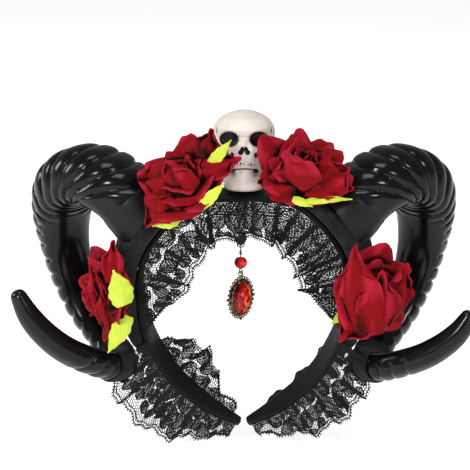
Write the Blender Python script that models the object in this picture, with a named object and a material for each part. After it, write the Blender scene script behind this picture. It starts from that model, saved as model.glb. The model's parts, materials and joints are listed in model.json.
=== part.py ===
"""Costume headband: a covered hoop with two curled horns, velvet roses, a small skull, gathered lace and a drop.

X runs across the head, Y from the face to the back of the head, Z up. The origin is the underside of the hoop at
its top, where it sits on the head. Sizes are in metres and angles in degrees.
"""

import math

import bmesh
import bpy
from mathutils import Matrix, Vector

# Fits
GAP = 0.0003
PAD_GAP = 0.0005
SLEEVE_GAP = 0.0009
LINK_GAP = 0.0003

# Hoop and its felt pads
HOOP_HALF_WIDTH = 0.062
HOOP_DROP = 0.151
BAND_WIDTH = 0.024
BAND_THICKNESS = 0.0036
BAND_END_TWIST = 17.0
BAND_STATIONS = 16
PAD_THICKNESS = 0.0105
PAD_WIDTH = 0.027
PAD_STATIONS = 11

# Horns
HORN_SEAT = 0.262
HORN_ROOT_RADIUS = 0.0220
HORN_REACH = 0.075
HORN_DEPTH = 0.044
HORN_DROP = 0.100
HORN_SIDES = 10
HORN_INNER_FLATNESS = 0.70
HORN_SQUARENESS = 2.5
RIB_COUNT = 26
RIB_FIRST = 0.072
RIB_LAST = 0.80
RIB_GROOVE = 0.085
RIB_CROWDING = 1.25
RIGHT_TIP_DROP = 0.0135
CUFF_WALL = 0.0015
CUFF_END = 0.062
WRAP_START = 0.565
WRAP_END = 0.690

# Skull
SKULL_WIDTH = 0.037
SKULL_DEPTH = 0.042
SKULL_HEIGHT = 0.0462
SKULL_TILT = 9.0
SKULL_BACK = 0.004
SKULL_SIDES = 18
SOCKET_RADIUS = 0.0062
SOCKET_SPREAD = 0.0083
SOCKET_HEIGHT = 0.0305
NOSE_RADIUS = 0.0030
NOSE_HEIGHT = 0.0232

# Roses and leaves
ROSE_RADIUS = 0.0335
ROSE_HEIGHT = 0.027
PETAL_THICKNESS = 0.0012
PETAL_LAP = 0.10
LEAF_THICKNESS = 0.0010
LEAF_WIDTH = 0.013

# Lace
LACE_THICKNESS = 0.0010
LACE_WIDTH = 0.029
LACE_WAVE = 0.0050
SCALLOP_DEPTH = 0.10
TOP_RUFFLE_END = 0.58
LOWER_RUFFLE_START = 0.67

# Drop
WIRE_RADIUS = 0.00040
LOOP_RADIUS = 0.0022
EYE_RADIUS = 0.0015
BEAD_RADIUS = 0.0038
BEAD_HEIGHT = 0.0062
BEAD_BORE = 0.00075
SHANK_ABOVE_BEAD = 0.0046
SETTING_WIDTH = 0.0182
SETTING_HEIGHT = 0.0258
SETTING_THICKNESS = 0.0024
SETTING_TURN = 35.0
STONE_WIDTH = 0.0128
STONE_HEIGHT = 0.0183
STONE_CROWN = 0.0026
STONE_RECESS = 0.0012
PIERCINGS = 14
WIRE_SIDES = 6
RING_SEGMENTS = 12
BEZEL_RISE = 0.0007
BEZEL_WALL = 0.0006
RIM_WALL = 0.0007
RIM_TEETH = 0.025
DROP_ACROSS = -0.0020
DROP_FORWARD = 0.0168
DROP_BELOW = 0.0262

# Heights along the drop, from the pivot that carries each link: a link's eye rests on the wire that it hangs from
LINK_REST = 2 * WIRE_RADIUS + LINK_GAP
BEAD_MIDDLE = LINK_REST - 2 * EYE_RADIUS - SHANK_ABOVE_BEAD - BEAD_HEIGHT / 2
LOWER_PIVOT = BEAD_MIDDLE - BEAD_HEIGHT / 2 - GAP - WIRE_RADIUS - 2 * EYE_RADIUS
SETTING_MIDDLE = LINK_REST - 2 * EYE_RADIUS - SETTING_HEIGHT / 2

# Half of the hoop from its top to its end, as shares of its half width and drop, with the twist and width there
HOOP_PATH = (
    # across, down, twist, width
    (0.000, 0.000, 0.00, 0.90),
    (0.450, 0.020, 0.00, 0.95),
    (0.806, 0.142, 0.00, 1.00),
    (1.000, 0.298, 0.00, 1.00),
    (1.000, 0.469, 0.15, 1.00),
    (0.903, 0.625, 0.60, 0.95),
    (0.694, 0.774, 1.00, 0.90),
    (0.355, 0.902, 1.00, 0.80),
    (0.030, 0.985, 1.00, 0.42),
)

# Felt pad outside the hoop: where along the half hoop, and shares of the pad's thickness and width
PAD_PATH = (
    # along, thickness, width
    (0.120, 0.15, 0.85),
    (0.200, 0.75, 1.15),
    (0.262, 1.00, 1.45),
    (0.330, 0.95, 1.30),
    (0.430, 0.80, 1.00),
    (0.540, 0.75, 0.95),
    (0.600, 0.55, 0.95),
    (0.655, 0.10, 0.85),
)

# Centre line of a horn from its seat, as shares of its reach, depth, drop and root radius
HORN_PATH = (
    # out, back, up, radius
    (0.000, 0.00, 0.000, 1.00),
    (0.190, 0.09, 0.160, 1.00),
    (0.425, 0.32, 0.210, 0.98),
    (0.615, 0.61, 0.110, 0.91),
    (0.680, 0.86, -0.085, 0.82),
    (0.670, 1.00, -0.305, 0.70),
    (0.610, 0.98, -0.510, 0.62),
    (0.500, 0.82, -0.695, 0.55),
    (0.345, 0.55, -0.840, 0.49),
    (0.230, 0.20, -0.920, 0.46),
    (0.225, -0.18, -0.900, 0.45),
    (0.345, -0.45, -0.845, 0.43),
    (0.573, -0.68, -0.728, 0.40),
    (0.740, -0.77, -0.610, 0.37),
    (0.865, -0.82, -0.480, 0.32),
    (0.960, -0.84, -0.325, 0.20),
)

# Centre of the curl from the horn's seat, in the same shares
CURL_CENTRE = (0.45, 0.23, -0.40)

# Level sections of the skull, as shares of its height, width and depth
SKULL_SECTIONS = (
    # height, half_width, front, back
    (0.00, 0.31, 0.40, 0.08),
    (0.08, 0.35, 0.45, 0.12),
    (0.20, 0.33, 0.46, 0.16),
    (0.31, 0.33, 0.45, 0.24),
    (0.40, 0.42, 0.43, 0.36),
    (0.50, 0.47, 0.41, 0.45),
    (0.62, 0.46, 0.40, 0.50),
    (0.72, 0.49, 0.42, 0.52),
    (0.82, 0.48, 0.40, 0.50),
    (0.91, 0.41, 0.33, 0.43),
    (0.97, 0.29, 0.22, 0.30),
    (1.00, 0.14, 0.10, 0.15),
)

# Roses: where along the half hoop (left is negative), how far out of and before the hoop's middle, the way that
# the flower faces, its size and its turn
ROSES = (
    # name, along, out, front, facing, size, turn
    ("rose_top_left", -0.115, 0.0145, 0.0212, (-0.36, -0.64, 0.68), 0.93, 20.0),
    ("rose_top_right", 0.120, 0.0172, 0.0147, (0.20, -0.55, 0.81), 0.93, 150.0),
    ("rose_side_left", -0.440, 0.0125, 0.0095, (-0.93, -0.36, 0.10), 0.90, 56.0),
    ("rose_side_right", 0.420, 0.0085, 0.0158, (0.58, -0.80, 0.05), 0.92, 236.0),
)

# Rings of petals of one rose, as shares of its radius and height, and the angle from one petal to the next: the
# outer ring leaves a gap where the leaves show
PETAL_RINGS = (
    # petals, step, columns, reach, rise, base, width, opening
    (5, 62.0, 3, 1.00, 0.52, 0.30, 0.80, 0.95),
    (3, 120.0, 2, 0.66, 0.92, 0.22, 0.95, 0.55),
    (2, 180.0, 2, 0.36, 1.00, 0.10, 0.80, 0.28),
)

# Leaves: the rose that each lies under, its foot and tip from the rose's middle as shares of the rose's radius,
# the way that its face looks and a share of the leaf's width
LEAVES = (
    # name, rose, foot, tip, facing, width
    ("leaf_top_left_1", "rose_top_left", (0.42, -0.15, 0.28), (0.78, -0.21, 0.73), (0.2, -1.0, 0.3), 0.60),
    ("leaf_top_left_2", "rose_top_left", (0.16, 0.195, -0.49), (0.52, 0.255, -0.01), (0.3, -0.8, 0.5), 0.75),
    ("leaf_top_left_3", "rose_top_left", (-0.18, 0.22, -0.56), (-0.68, 0.20, -0.83), (0.0, -0.9, 0.4), 0.80),
    ("leaf_top_right_1", "rose_top_right", (-0.12, -0.13, -0.49), (0.24, -0.15, -0.59), (0.1, -0.6, 0.8), 0.50),
    ("leaf_top_right_2", "rose_top_right", (0.20, -0.06, -0.55), (0.80, 0.00, -0.53), (0.1, -0.5, 0.8), 0.50),
    ("leaf_side_left_1", "rose_side_left", (0.42, -0.46, -0.21), (0.26, -0.51, 0.41), (0.3, -0.9, 0.2), 1.40),
    ("leaf_side_left_2", "rose_side_left", (0.59, -0.40, -0.28), (0.23, -0.50, -0.98), (0.2, -0.9, 0.1), 1.00),
    ("leaf_side_right_1", "rose_side_right", (-0.41, -0.10, 0.00), (-0.54, -0.14, 0.43), (-0.5, -0.8, 0.1), 0.60),
    ("leaf_side_right_2", "rose_side_right", (-0.40, 0.225, -0.41), (-0.75, 0.145, -0.68), (-0.4, -0.8, 0.2), 0.60),
)


def catmull_rom(rows, along):
    """The row of numbers at along, from 0 to 1, on a smooth curve through equally spaced rows."""
    place = min(max(along, 0.0), 1.0) * (len(rows) - 1)
    first = min(int(place), len(rows) - 2)
    t = place - first
    ends = [rows[min(max(first + step, 0), len(rows) - 1)] for step in (-1, 0, 1, 2)]
    return tuple(
        0.5 * (2 * b + (c - a) * t + (2 * a - 5 * b + 4 * c - d) * t * t + (3 * b - a - 3 * c + d) * t**3)
        for a, b, c, d in zip(*ends)
    )


def between(rows, where):
    """The other columns of a table at a value of its first column, on straight lines between its rows."""
    where = min(max(where, rows[0][0]), rows[-1][0])
    for low, high in zip(rows, rows[1:]):
        if where <= high[0]:
            share = (where - low[0]) / (high[0] - low[0])
            return tuple(a + (b - a) * share for a, b in zip(low[1:], high[1:]))
    return rows[-1][1:]


def smooth_step(low, high, value):
    share = min(max((value - low) / (high - low), 0.0), 1.0)
    return share * share * (3 - 2 * share)


def hoop_point(along):
    """The middle of the hoop's strip at along, from -1 at the left end over 0 at the top to 1 at the right end."""
    across, down, _, _ = catmull_rom(HOOP_PATH, abs(along))
    side = -1.0 if along < 0 else 1.0
    return Vector((side * across * HOOP_HALF_WIDTH, 0.0, BAND_THICKNESS / 2 - down * HOOP_DROP))


def hoop_frame(along):
    """(middle, outward, forward, width) of the hoop's strip: outward leaves the head, forward runs to its front edge."""
    step = 0.004
    low, high = max(along - step, -1.0), min(along + step, 1.0)
    run = (hoop_point(high) - hoop_point(low)).normalized()
    outward = Vector((-run.z, 0.0, run.x))
    forward = Vector((0.0, -1.0, 0.0))
    _, _, twist, width = catmull_rom(HOOP_PATH, abs(along))
    turn = math.radians(BAND_END_TWIST * twist)
    front = forward * math.cos(turn) + outward * math.sin(turn)
    out = outward * math.cos(turn) - forward * math.sin(turn)
    return hoop_point(along), out, front, width * BAND_WIDTH


def principled(name, colour, roughness, metallic=0.0):
    material = bpy.data.materials.new(name)
    material.use_nodes = True
    shader = material.node_tree.nodes["Principled BSDF"]
    shader.inputs["Base Color"].default_value = (*colour, 1.0)
    shader.inputs["Roughness"].default_value = roughness
    shader.inputs["Metallic"].default_value = metallic
    material.diffuse_color = (*colour, 1.0)
    return material


def place_object(name, bm, material, smooth_angle=35.0, location=(0, 0, 0), parent=None):
    """Ends a bmesh as a named object with its material."""
    bmesh.ops.recalc_face_normals(bm, faces=bm.faces)
    mesh = bpy.data.meshes.new(name)
    bm.to_mesh(mesh)
    bm.free()
    mesh.shade_smooth()
    mesh.set_sharp_from_angle(angle=math.radians(smooth_angle))
    mesh.materials.append(material)
    made = bpy.data.objects.new(name, mesh)
    made.location = location
    made.parent = parent
    bpy.context.scene.collection.objects.link(made)
    return made


def add_loft(bm, rings):
    """Adds a closed body through rings of as many points each, capped at both ends."""
    made = [[bm.verts.new(point) for point in ring] for ring in rings]
    count = len(made[0])
    for low, high in zip(made, made[1:]):
        for k in range(count):
            after = (k + 1) % count
            bm.faces.new((low[k], low[after], high[after], high[k]))
    bm.faces.new(made[0][::-1])
    bm.faces.new(made[-1])
    return made


def add_tube(bm, outer, inner):
    """Adds a sleeve open at both ends, between rings of its outer and its inner wall."""
    walls = [[[bm.verts.new(point) for point in ring] for ring in rings] for rings in (outer, inner)]
    count = len(walls[0][0])
    for rings in walls:
        for low, high in zip(rings, rings[1:]):
            for k in range(count):
                after = (k + 1) % count
                bm.faces.new((low[k], low[after], high[after], high[k]))
    for end in (0, -1):
        for k in range(count):
            after = (k + 1) % count
            bm.faces.new((walls[0][end][k], walls[0][end][after], walls[1][end][after], walls[1][end][k]))


def add_sheet(bm, points, normals, thickness, missing=frozenset()):
    """Adds a sheet of the given thickness over a grid of points, cut through at its missing cells."""
    columns, rows = len(points), len(points[0])
    skins = [
        [[bm.verts.new(points[i][j] + normals[i][j] * offset) for j in range(rows)] for i in range(columns)]
        for offset in (thickness / 2, -thickness / 2)
    ]
    there = {(i, j) for i in range(columns - 1) for j in range(rows - 1)} - missing
    for i, j in sorted(there):
        corners = ((i, j), (i + 1, j), (i + 1, j + 1), (i, j + 1))
        bm.faces.new([skins[0][a][b] for a, b in corners])
        bm.faces.new([skins[1][a][b] for a, b in reversed(corners)])
        sides = (((i, j), (i + 1, j), (i, j - 1)), ((i + 1, j), (i + 1, j + 1), (i + 1, j)))
        sides += (((i + 1, j + 1), (i, j + 1), (i, j + 1)), ((i, j + 1), (i, j), (i - 1, j)))
        for (a, b), (c, d), neighbour in sides:
            if neighbour not in there:
                bm.faces.new((skins[0][a][b], skins[1][a][b], skins[1][c][d], skins[0][c][d]))


def add_ring(bm, centre, across, up, radius, wire_radius, segments=RING_SEGMENTS, sides=WIRE_SIDES, stretch=1.0):
    """Adds a closed wire ring in the plane of across and up."""
    normal = across.cross(up).normalized()
    rings = []
    for step in range(segments):
        angle = 2 * math.pi * step / segments
        radial = across * math.cos(angle) + up * math.sin(angle)
        middle = centre + across * (radius * math.cos(angle)) + up * (radius * stretch * math.sin(angle))
        ring = []
        for side in range(sides):
            turn = 2 * math.pi * (side + 0.5) / sides
            ring.append(bm.verts.new(middle + (radial * math.cos(turn) + normal * math.sin(turn)) * wire_radius))
        rings.append(ring)
    for step in range(segments):
        low, high = rings[step], rings[(step + 1) % segments]
        for side in range(sides):
            after = (side + 1) % sides
            bm.faces.new((low[side], low[after], high[after], high[side]))


def drop_slivers(bm):
    """Keeps the largest body of a union, without the crumbs that crossing sheets leave."""
    left, bodies = set(bm.verts), []
    while left:
        body, front = set(), [left.pop()]
        while front:
            point = front.pop()
            body.add(point)
            near = {edge.other_vert(point) for edge in point.link_edges} & left
            left -= near
            front.extend(near)
        bodies.append(body)
    bodies.sort(key=len)
    crumbs = [point for body in bodies[:-1] for point in body]
    bmesh.ops.delete(bm, geom=crumbs, context="VERTS")


def fuse(name, bodies, material, smooth_angle=35.0, cut=(), solver="EXACT"):
    """Joins closed bodies into one object with Boolean unions, cuts others from it and removes the helpers."""
    helpers = []
    for number, bm in enumerate((*bodies, *cut)):
        bmesh.ops.recalc_face_normals(bm, faces=bm.faces)
        mesh = bpy.data.meshes.new(f"{name}_body_{number}")
        bm.to_mesh(mesh)
        bm.free()
        helper = bpy.data.objects.new(mesh.name, mesh)
        bpy.context.scene.collection.objects.link(helper)
        helpers.append(helper)
    base = helpers[0]
    for number, helper in enumerate(helpers[1:], 1):
        modifier = base.modifiers.new(helper.name, "BOOLEAN")
        modifier.solver = solver
        modifier.operation = "UNION" if number < len(bodies) else "DIFFERENCE"
        modifier.object = helper
    bpy.context.view_layer.update()
    graph = bpy.context.evaluated_depsgraph_get()
    joined = bmesh.new()
    joined.from_object(base, graph)
    bmesh.ops.remove_doubles(joined, verts=joined.verts, dist=1e-7)
    drop_slivers(joined)
    for helper in helpers:
        mesh = helper.data
        bpy.data.objects.remove(helper)
        bpy.data.meshes.remove(mesh)
    return place_object(name, joined, material, smooth_angle)


def strip_section(middle, out, front, thickness, width):
    """Eight points round a flat strip with eased corners."""
    ease = 0.35 * thickness
    half_out, half_wide = thickness / 2, width / 2
    corners = (
        (half_out, -half_wide + ease),
        (half_out, half_wide - ease),
        (half_out - ease, half_wide),
        (ease - half_out, half_wide),
        (-half_out, half_wide - ease),
        (-half_out, ease - half_wide),
        (ease - half_out, -half_wide),
        (half_out - ease, -half_wide),
    )
    return [middle + out * a + front * b for a, b in corners]


def make_band(material):
    rings = []
    for step in range(-BAND_STATIONS, BAND_STATIONS + 1):
        middle, out, front, width = hoop_frame(step / BAND_STATIONS)
        rings.append(strip_section(middle, out, front, BAND_THICKNESS, width))
    bm = bmesh.new()
    add_loft(bm, rings)
    place_object("band", bm, material)


def pad_top(along):
    """How far the felt pad's outer side lies from the middle of the hoop's strip."""
    thickness, _ = between(PAD_PATH, abs(along))
    return BAND_THICKNESS / 2 + PAD_GAP + thickness * PAD_THICKNESS


def make_pad(name, side, material):
    """The felt that is glued to the outside of the hoop and carries the horn and the side rose."""
    rings = []
    first, last = PAD_PATH[0][0], PAD_PATH[-1][0]
    for step in range(PAD_STATIONS + 1):
        along = side * (first + (last - first) * step / PAD_STATIONS)
        middle, out, front, _ = hoop_frame(along)
        _, width = between(PAD_PATH, abs(along))
        foot, top, half = BAND_THICKNESS / 2 + PAD_GAP, pad_top(along), width * PAD_WIDTH / 2
        shape = ((foot, -0.86), (foot, 0.86), (0.4 * foot + 0.6 * top, 1.0), (top, 0.62), (top, -0.62))
        shape += ((0.4 * foot + 0.6 * top, -1.0),)
        rings.append([middle + out * a + front * (b * half) for a, b in shape])
    bm = bmesh.new()
    add_loft(bm, rings)
    place_object(name, bm, material)


def horn_point(side, along):
    """(centre, radius) of a horn at along, from 0 at its seat to 1 at its tip."""
    out, back, up, radius = catmull_rom(HORN_PATH, along)
    middle, outward, _, _ = hoop_frame(side * HORN_SEAT)
    seat = middle + outward * (pad_top(side * HORN_SEAT) + GAP)
    drop = RIGHT_TIP_DROP * smooth_step(0.62, 1.25, along) / smooth_step(0.62, 1.25, 1.0) if side > 0 else 0.0
    shift = Vector((side * out * HORN_REACH, back * HORN_DEPTH, up * HORN_DROP - drop))
    return seat + shift, radius * HORN_ROOT_RADIUS


def horn_frame(side, along):
    """(centre, radius, outer, lateral) of a horn's section: outer points away from the middle of the curl."""
    step = 0.004
    centre, radius = horn_point(side, along)
    if along < step:
        run = hoop_frame(side * HORN_SEAT)[1]
    else:
        run = horn_point(side, min(along + step, 1.0))[0] - horn_point(side, along - step)[0]
    run = run.normalized()
    curl = Vector((side * CURL_CENTRE[0] * HORN_REACH, CURL_CENTRE[1] * HORN_DEPTH, CURL_CENTRE[2] * HORN_DROP))
    outer = centre - horn_point(side, 0.0)[0] - curl
    outer = (outer - run * outer.dot(run)).normalized()
    return centre, radius, outer, run.cross(outer)


def horn_section(side, along, groove=0.0, grow=0.0, sides=HORN_SIDES):
    """A ring round a horn: rounded and ribbed on its outer side, flatter and smooth towards the curl."""
    centre, radius, outer, lateral = horn_frame(side, along)
    ring = []
    for k in range(sides):
        angle = 2 * math.pi * k / sides
        a, b = math.cos(angle), math.sin(angle)
        length = (abs(a) ** HORN_SQUARENESS + abs(b) ** HORN_SQUARENESS) ** (-1 / HORN_SQUARENESS)
        ribbed = smooth_step(-0.45, 0.15, a)
        reach = length * (radius * (1 - groove * ribbed) + grow)
        a *= reach * (HORN_INNER_FLATNESS if a < 0 else 1.0)
        ring.append(centre + outer * a + lateral * (b * reach))
    return ring


def rib_place(rib):
    """Where a rib starts along the horn: the ribs crowd towards the tip."""
    share = 1 - (1 - rib / RIB_COUNT) ** (1 / RIB_CROWDING) if rib < RIB_COUNT else 1.0
    return RIB_FIRST + (RIB_LAST - RIB_FIRST) * (1 - (1 - share) ** RIB_CROWDING)


def make_horn(name, side, material):
    rings = [horn_section(side, 0.0), horn_section(side, RIB_FIRST * 0.6)]
    for rib in range(RIB_COUNT):
        start, end = rib_place(rib), rib_place(rib + 1)
        fade = 1.0 - 0.5 * smooth_step(0.6 * RIB_COUNT, RIB_COUNT, rib)
        for share, groove in ((0.0, RIB_GROOVE), (0.28, 0.0), (0.75, 0.0)):
            rings.append(horn_section(side, start + (end - start) * share, groove * fade))
    for along in (RIB_LAST, 0.84, 0.88, 0.92, 0.955, 0.98):
        rings.append(horn_section(side, along))
    rings.append(horn_section(side, 0.995, grow=-0.0008))
    rings.append(horn_section(side, 1.0, grow=-0.0025))
    bm = bmesh.new()
    add_loft(bm, rings)
    place_object(name, bm, material, 50.0)


def make_sleeve(name, side, start, end, steps, material):
    """A felt sleeve round a stretch of the horn."""
    outer, inner = [], []
    for step in range(steps + 1):
        along = start + (end - start) * step / steps
        inner.append(horn_section(side, along, grow=SLEEVE_GAP))
        outer.append(horn_section(side, along, grow=SLEEVE_GAP + CUFF_WALL))
    bm = bmesh.new()
    add_tube(bm, outer, inner)
    place_object(name, bm, material)


def skull_ring(half_width, front, back, height):
    ring = []
    for k in range(SKULL_SIDES):
        angle = 2 * math.pi * k / SKULL_SIDES
        across, along = math.sin(angle), -math.cos(angle)
        depth = front if along < 0 else back
        ring.append(Vector((across * half_width * SKULL_WIDTH, along * depth * SKULL_DEPTH, height * SKULL_HEIGHT)))
    return ring


def ball(radius, centre, stretch=(1, 1, 1), turn=0.0, segments=10, rings=6):
    bm = bmesh.new()
    matrix = Matrix.Translation(centre) @ Matrix.Rotation(math.radians(turn), 4, "Y") @ Matrix.Diagonal((*stretch, 1))
    bmesh.ops.create_uvsphere(bm, u_segments=segments, v_segments=rings, radius=radius, matrix=matrix)
    return bm


def make_skull(material):
    """The small skull on the top of the hoop, with its sockets and nose cut in."""
    head = bmesh.new()
    rings = [skull_ring(half, front, back, height) for height, half, front, back in SKULL_SECTIONS]
    add_loft(head, rings)
    face = -0.40 * SKULL_DEPTH
    holes = []
    for side in (-1, 1):
        place = (side * SOCKET_SPREAD, face + 0.0005, SOCKET_HEIGHT)
        holes.append(ball(SOCKET_RADIUS, place, (1.0, 0.9, 0.82), side * 12.0))
        place = (side * NOSE_RADIUS * 0.55, face, NOSE_HEIGHT)
        holes.append(ball(NOSE_RADIUS, place, (0.5, 0.8, 1.0), side * 14.0, 8, 5))
    skull = fuse("skull", [head], material, 60.0, holes)
    # Its own middle lies a little behind the hoop's, so that the chin stands on the hoop's front half
    foot_back = SKULL_SECTIONS[0][3] * SKULL_DEPTH * math.sin(math.radians(SKULL_TILT))
    skull.location = (0.0, SKULL_BACK, BAND_THICKNESS + GAP + foot_back)
    skull.rotation_euler = (-math.radians(SKULL_TILT), 0.0, 0.0)


def petal_body(columns, reach, rise, base, width, opening, angle):
    """One cupped petal as a closed sheet, from near the rose's axis out to its pointed, curled rim."""
    rows = 2 if columns < 3 else 3
    points, normals = [], []
    for i in range(columns + 1):
        across = 2 * i / columns - 1
        line = []
        for j in range(rows + 1):
            t = j / rows
            pointed = 1 - 0.22 * abs(across) ** 1.5 * smooth_step(0.4, 1.0, t)
            radius = ROSE_RADIUS * (base + (reach - base) * (t ** (0.6 + opening)) * pointed)
            height = ROSE_HEIGHT * rise * (math.sin(0.5 * math.pi * min(t * 1.25, 1.0)) * pointed)
            height -= ROSE_HEIGHT * 0.22 * opening * smooth_step(0.62, 1.0, t)
            height += ROSE_HEIGHT * PETAL_LAP * across * min(2 * t, 1.0)
            spread = width * (0.55 + 0.45 * math.sin(math.pi * min(0.15 + 0.75 * t, 1.0))) / max(reach, 0.4)
            turn = angle + across * spread * 0.9
            line.append(Vector((radius * math.cos(turn), radius * math.sin(turn), height)))
        points.append(line)
    for i in range(columns + 1):
        line = []
        for j in range(rows + 1):
            across = points[min(i + 1, columns)][j] - points[max(i - 1, 0)][j]
            along = points[i][min(j + 1, rows)] - points[i][max(j - 1, 0)]
            line.append(across.cross(along).normalized())
        normals.append(line)
    bm = bmesh.new()
    add_sheet(bm, points, normals, PETAL_THICKNESS)
    return bm


def rose_matrix(along, out, front, facing, turn):
    """Places a rose's own frame, whose Z is the way that the flower faces, on the hoop."""
    middle, outward, forward, _ = hoop_frame(along)
    place = middle + outward * out + forward * front
    axis = Vector(facing).normalized()
    right = (Vector((1, 0, 0)) - axis * axis.x).normalized()
    frame = Matrix((right, axis.cross(right), axis)).transposed().to_4x4()
    return Matrix.Translation(place) @ frame @ Matrix.Rotation(math.radians(turn), 4, "Z")


def make_rose(name, along, out, front, facing, size, turn, material):
    core = bmesh.new()
    profile = ((0.34, -0.02), (0.40, 0.10), (0.30, 0.38), (0.20, 0.80), (0.12, 0.98))
    rings = []
    for radius, height in profile:
        ring = []
        for k in range(6):
            angle = 2 * math.pi * (k + 0.3) / 6
            ring.append(Vector((math.cos(angle), math.sin(angle), 0)) * radius * ROSE_RADIUS)
            ring[-1].z = height * ROSE_HEIGHT
        rings.append(ring)
    add_loft(core, rings)
    bodies = [core]
    for ring_number, (petals, ring_step, *shape) in enumerate(PETAL_RINGS):
        for k in range(petals):
            angle = math.radians(ring_step * k + 47.0 * ring_number)
            bodies.append(petal_body(*shape, angle))
    rose = fuse(name, bodies, material, 50.0, solver="MANIFOLD")
    rose.matrix_world = rose_matrix(along, out, front, facing, turn) @ Matrix.Scale(size, 4)


def rose_middle(rose_name):
    """The middle of a rose's cup."""
    for name, along, out, front, facing, size, turn in ROSES:
        if name == rose_name:
            return rose_matrix(along, out, front, facing, turn) @ Vector((0, 0, 0.4 * size * ROSE_HEIGHT))
    raise ValueError(rose_name)


def make_leaf(name, rose_name, foot, tip, facing, width, material):
    """A folded, pointed leaf of stiff cloth."""
    middle = rose_middle(rose_name)
    start = middle + Vector(foot) * ROSE_RADIUS
    run = middle + Vector(tip) * ROSE_RADIUS - start
    across = run.cross(Vector(facing)).normalized()
    up = across.cross(run).normalized()
    steps = 4
    points, normals = [], []
    for i in (-1, 0, 1):
        line = []
        for j in range(steps + 1):
            t = j / steps
            half = width * LEAF_WIDTH / 2 * (0.35 + 0.65 * math.sin(math.pi * min(0.12 + 0.95 * t, 1.0)) - 0.3 * t)
            fold = -0.25 * abs(i) * half
            bow = 0.10 * run.length * math.sin(math.pi * t)
            line.append(start + run * t + across * (i * half) + up * (fold + bow))
        points.append(line)
    for i in range(3):
        line = []
        for j in range(steps + 1):
            wide = points[min(i + 1, 2)][j] - points[max(i - 1, 0)][j]
            long = points[i][min(j + 1, steps)] - points[i][max(j - 1, 0)]
            line.append(wide.cross(long).normalized())
        normals.append(line)
    bm = bmesh.new()
    add_sheet(bm, points, normals, LEAF_THICKNESS)
    place_object(name, bm, material, 60.0)


def ruffle_points(start, end, columns, rows, lead, width, waves, rise):
    """A gathered strip on an edge of the hoop. lead gives its foot and the way that it runs out at each place."""
    points, normals = [], []
    for i in range(columns + 1):
        share = i / columns
        along = start + (end - start) * share
        foot, away, wave = lead(along)
        scallop = 1 - SCALLOP_DEPTH * abs(math.cos(math.pi * waves * share))
        broad = width(share)
        reach = LACE_WIDTH * broad * scallop
        sway = math.sin(2 * math.pi * waves * share + rise)
        line = []
        for j in range(rows + 1):
            t = j / rows
            line.append(foot + away * (reach * t) + wave * (LACE_WAVE * min(broad, 1.0) * t**0.8 * sway))
        points.append(line)
    for i in range(columns + 1):
        line = []
        for j in range(rows + 1):
            across = points[min(i + 1, columns)][j] - points[max(i - 1, 0)][j]
            along = points[i][min(j + 1, rows)] - points[i][max(j - 1, 0)]
            line.append(across.cross(along).normalized())
        normals.append(line)
    return points, normals


def make_ruffle(name, start, end, columns, lead, width, waves, rise, material, rows=3):
    points, normals = ruffle_points(start, end, columns, rows, lead, width, waves, rise)
    missing = {(i, 1) for i in range(1, columns - 1, 2)}
    bm = bmesh.new()
    add_sheet(bm, points, normals, LACE_THICKNESS, missing)
    place_object(name, bm, material, 60.0)


def front_inner(along):
    """Foot on the hoop's front edge, running in towards the face opening and a little forward."""
    middle, out, front, width = hoop_frame(along)
    foot = middle + front * (width / 2 + GAP + LACE_THICKNESS / 2)
    away = (front * 0.18 - out).normalized()
    return foot, away, front


def front_outer(along):
    """Foot on the hoop's front edge, running out and down."""
    middle, out, front, width = hoop_frame(along)
    foot = middle + front * (width / 2 + GAP + LACE_THICKNESS / 2)
    away = (front * 0.25 + out + Vector((0, 0, -0.25))).normalized()
    return foot, away, front


def back_inner(along):
    """Foot on the hoop's back edge, running in and back."""
    middle, out, front, width = hoop_frame(along)
    foot = middle - front * (width / 2 + GAP + LACE_THICKNESS / 2)
    away = (front * -0.30 - out).normalized()
    return foot, away, front


def back_plain(along):
    """Foot on the hoop's back edge, running back and a little out."""
    middle, out, front, width = hoop_frame(along)
    foot = middle - front * (width / 2 + GAP + LACE_THICKNESS / 2)
    away = (out * 0.6 - front).normalized()
    return foot, away, out


def make_lace(material):
    """The gathered lace: inside the front edge over the top, outside it lower down, and inside the back edge."""
    make_ruffle(
        "lace_top", -TOP_RUFFLE_END, TOP_RUFFLE_END, 46, front_inner,
        lambda share: 0.82 + 0.28 * abs(math.sin(4.0 * (share - 0.5))) - smooth_step(0.34, 0.5, abs(share - 0.5)),
        11, 0.4, material,
    )
    for side, name, broad in ((-1, "left", 1.0), (1, "right", 0.86)):
        make_ruffle(
            f"lace_lower_{name}", side * LOWER_RUFFLE_START, side * 0.975, 20, front_outer,
            lambda share: broad * (0.75 + 0.45 * smooth_step(0.0, 0.2, share) - 0.85 * smooth_step(0.45, 1.0, share)),
            5, 1.3, material,
        )
    make_ruffle(
        "lace_back_left", -0.65, -0.96, 14, back_inner,
        lambda share: 0.22 + 0.55 * math.sin(math.pi * min(share * 1.3, 1.0)), 4, 0.2, material,
    )
    make_ruffle(
        "lace_back_right", 0.66, 0.94, 10, back_plain,
        lambda share: 0.30 + 0.12 * math.sin(math.pi * share), 3, 2.0, material,
    )


def pivot(name, location, turn=0.0):
    """An empty on a hinge's axis."""
    empty = bpy.data.objects.new(name, None)
    empty.empty_display_size = 0.004
    empty.location = location
    empty.rotation_euler = (0.0, 0.0, math.radians(turn))
    bpy.context.scene.collection.objects.link(empty)
    return empty


def hang(piece, empty):
    """Parents a piece, made round the empty's origin, to it."""
    piece.parent = empty


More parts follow.
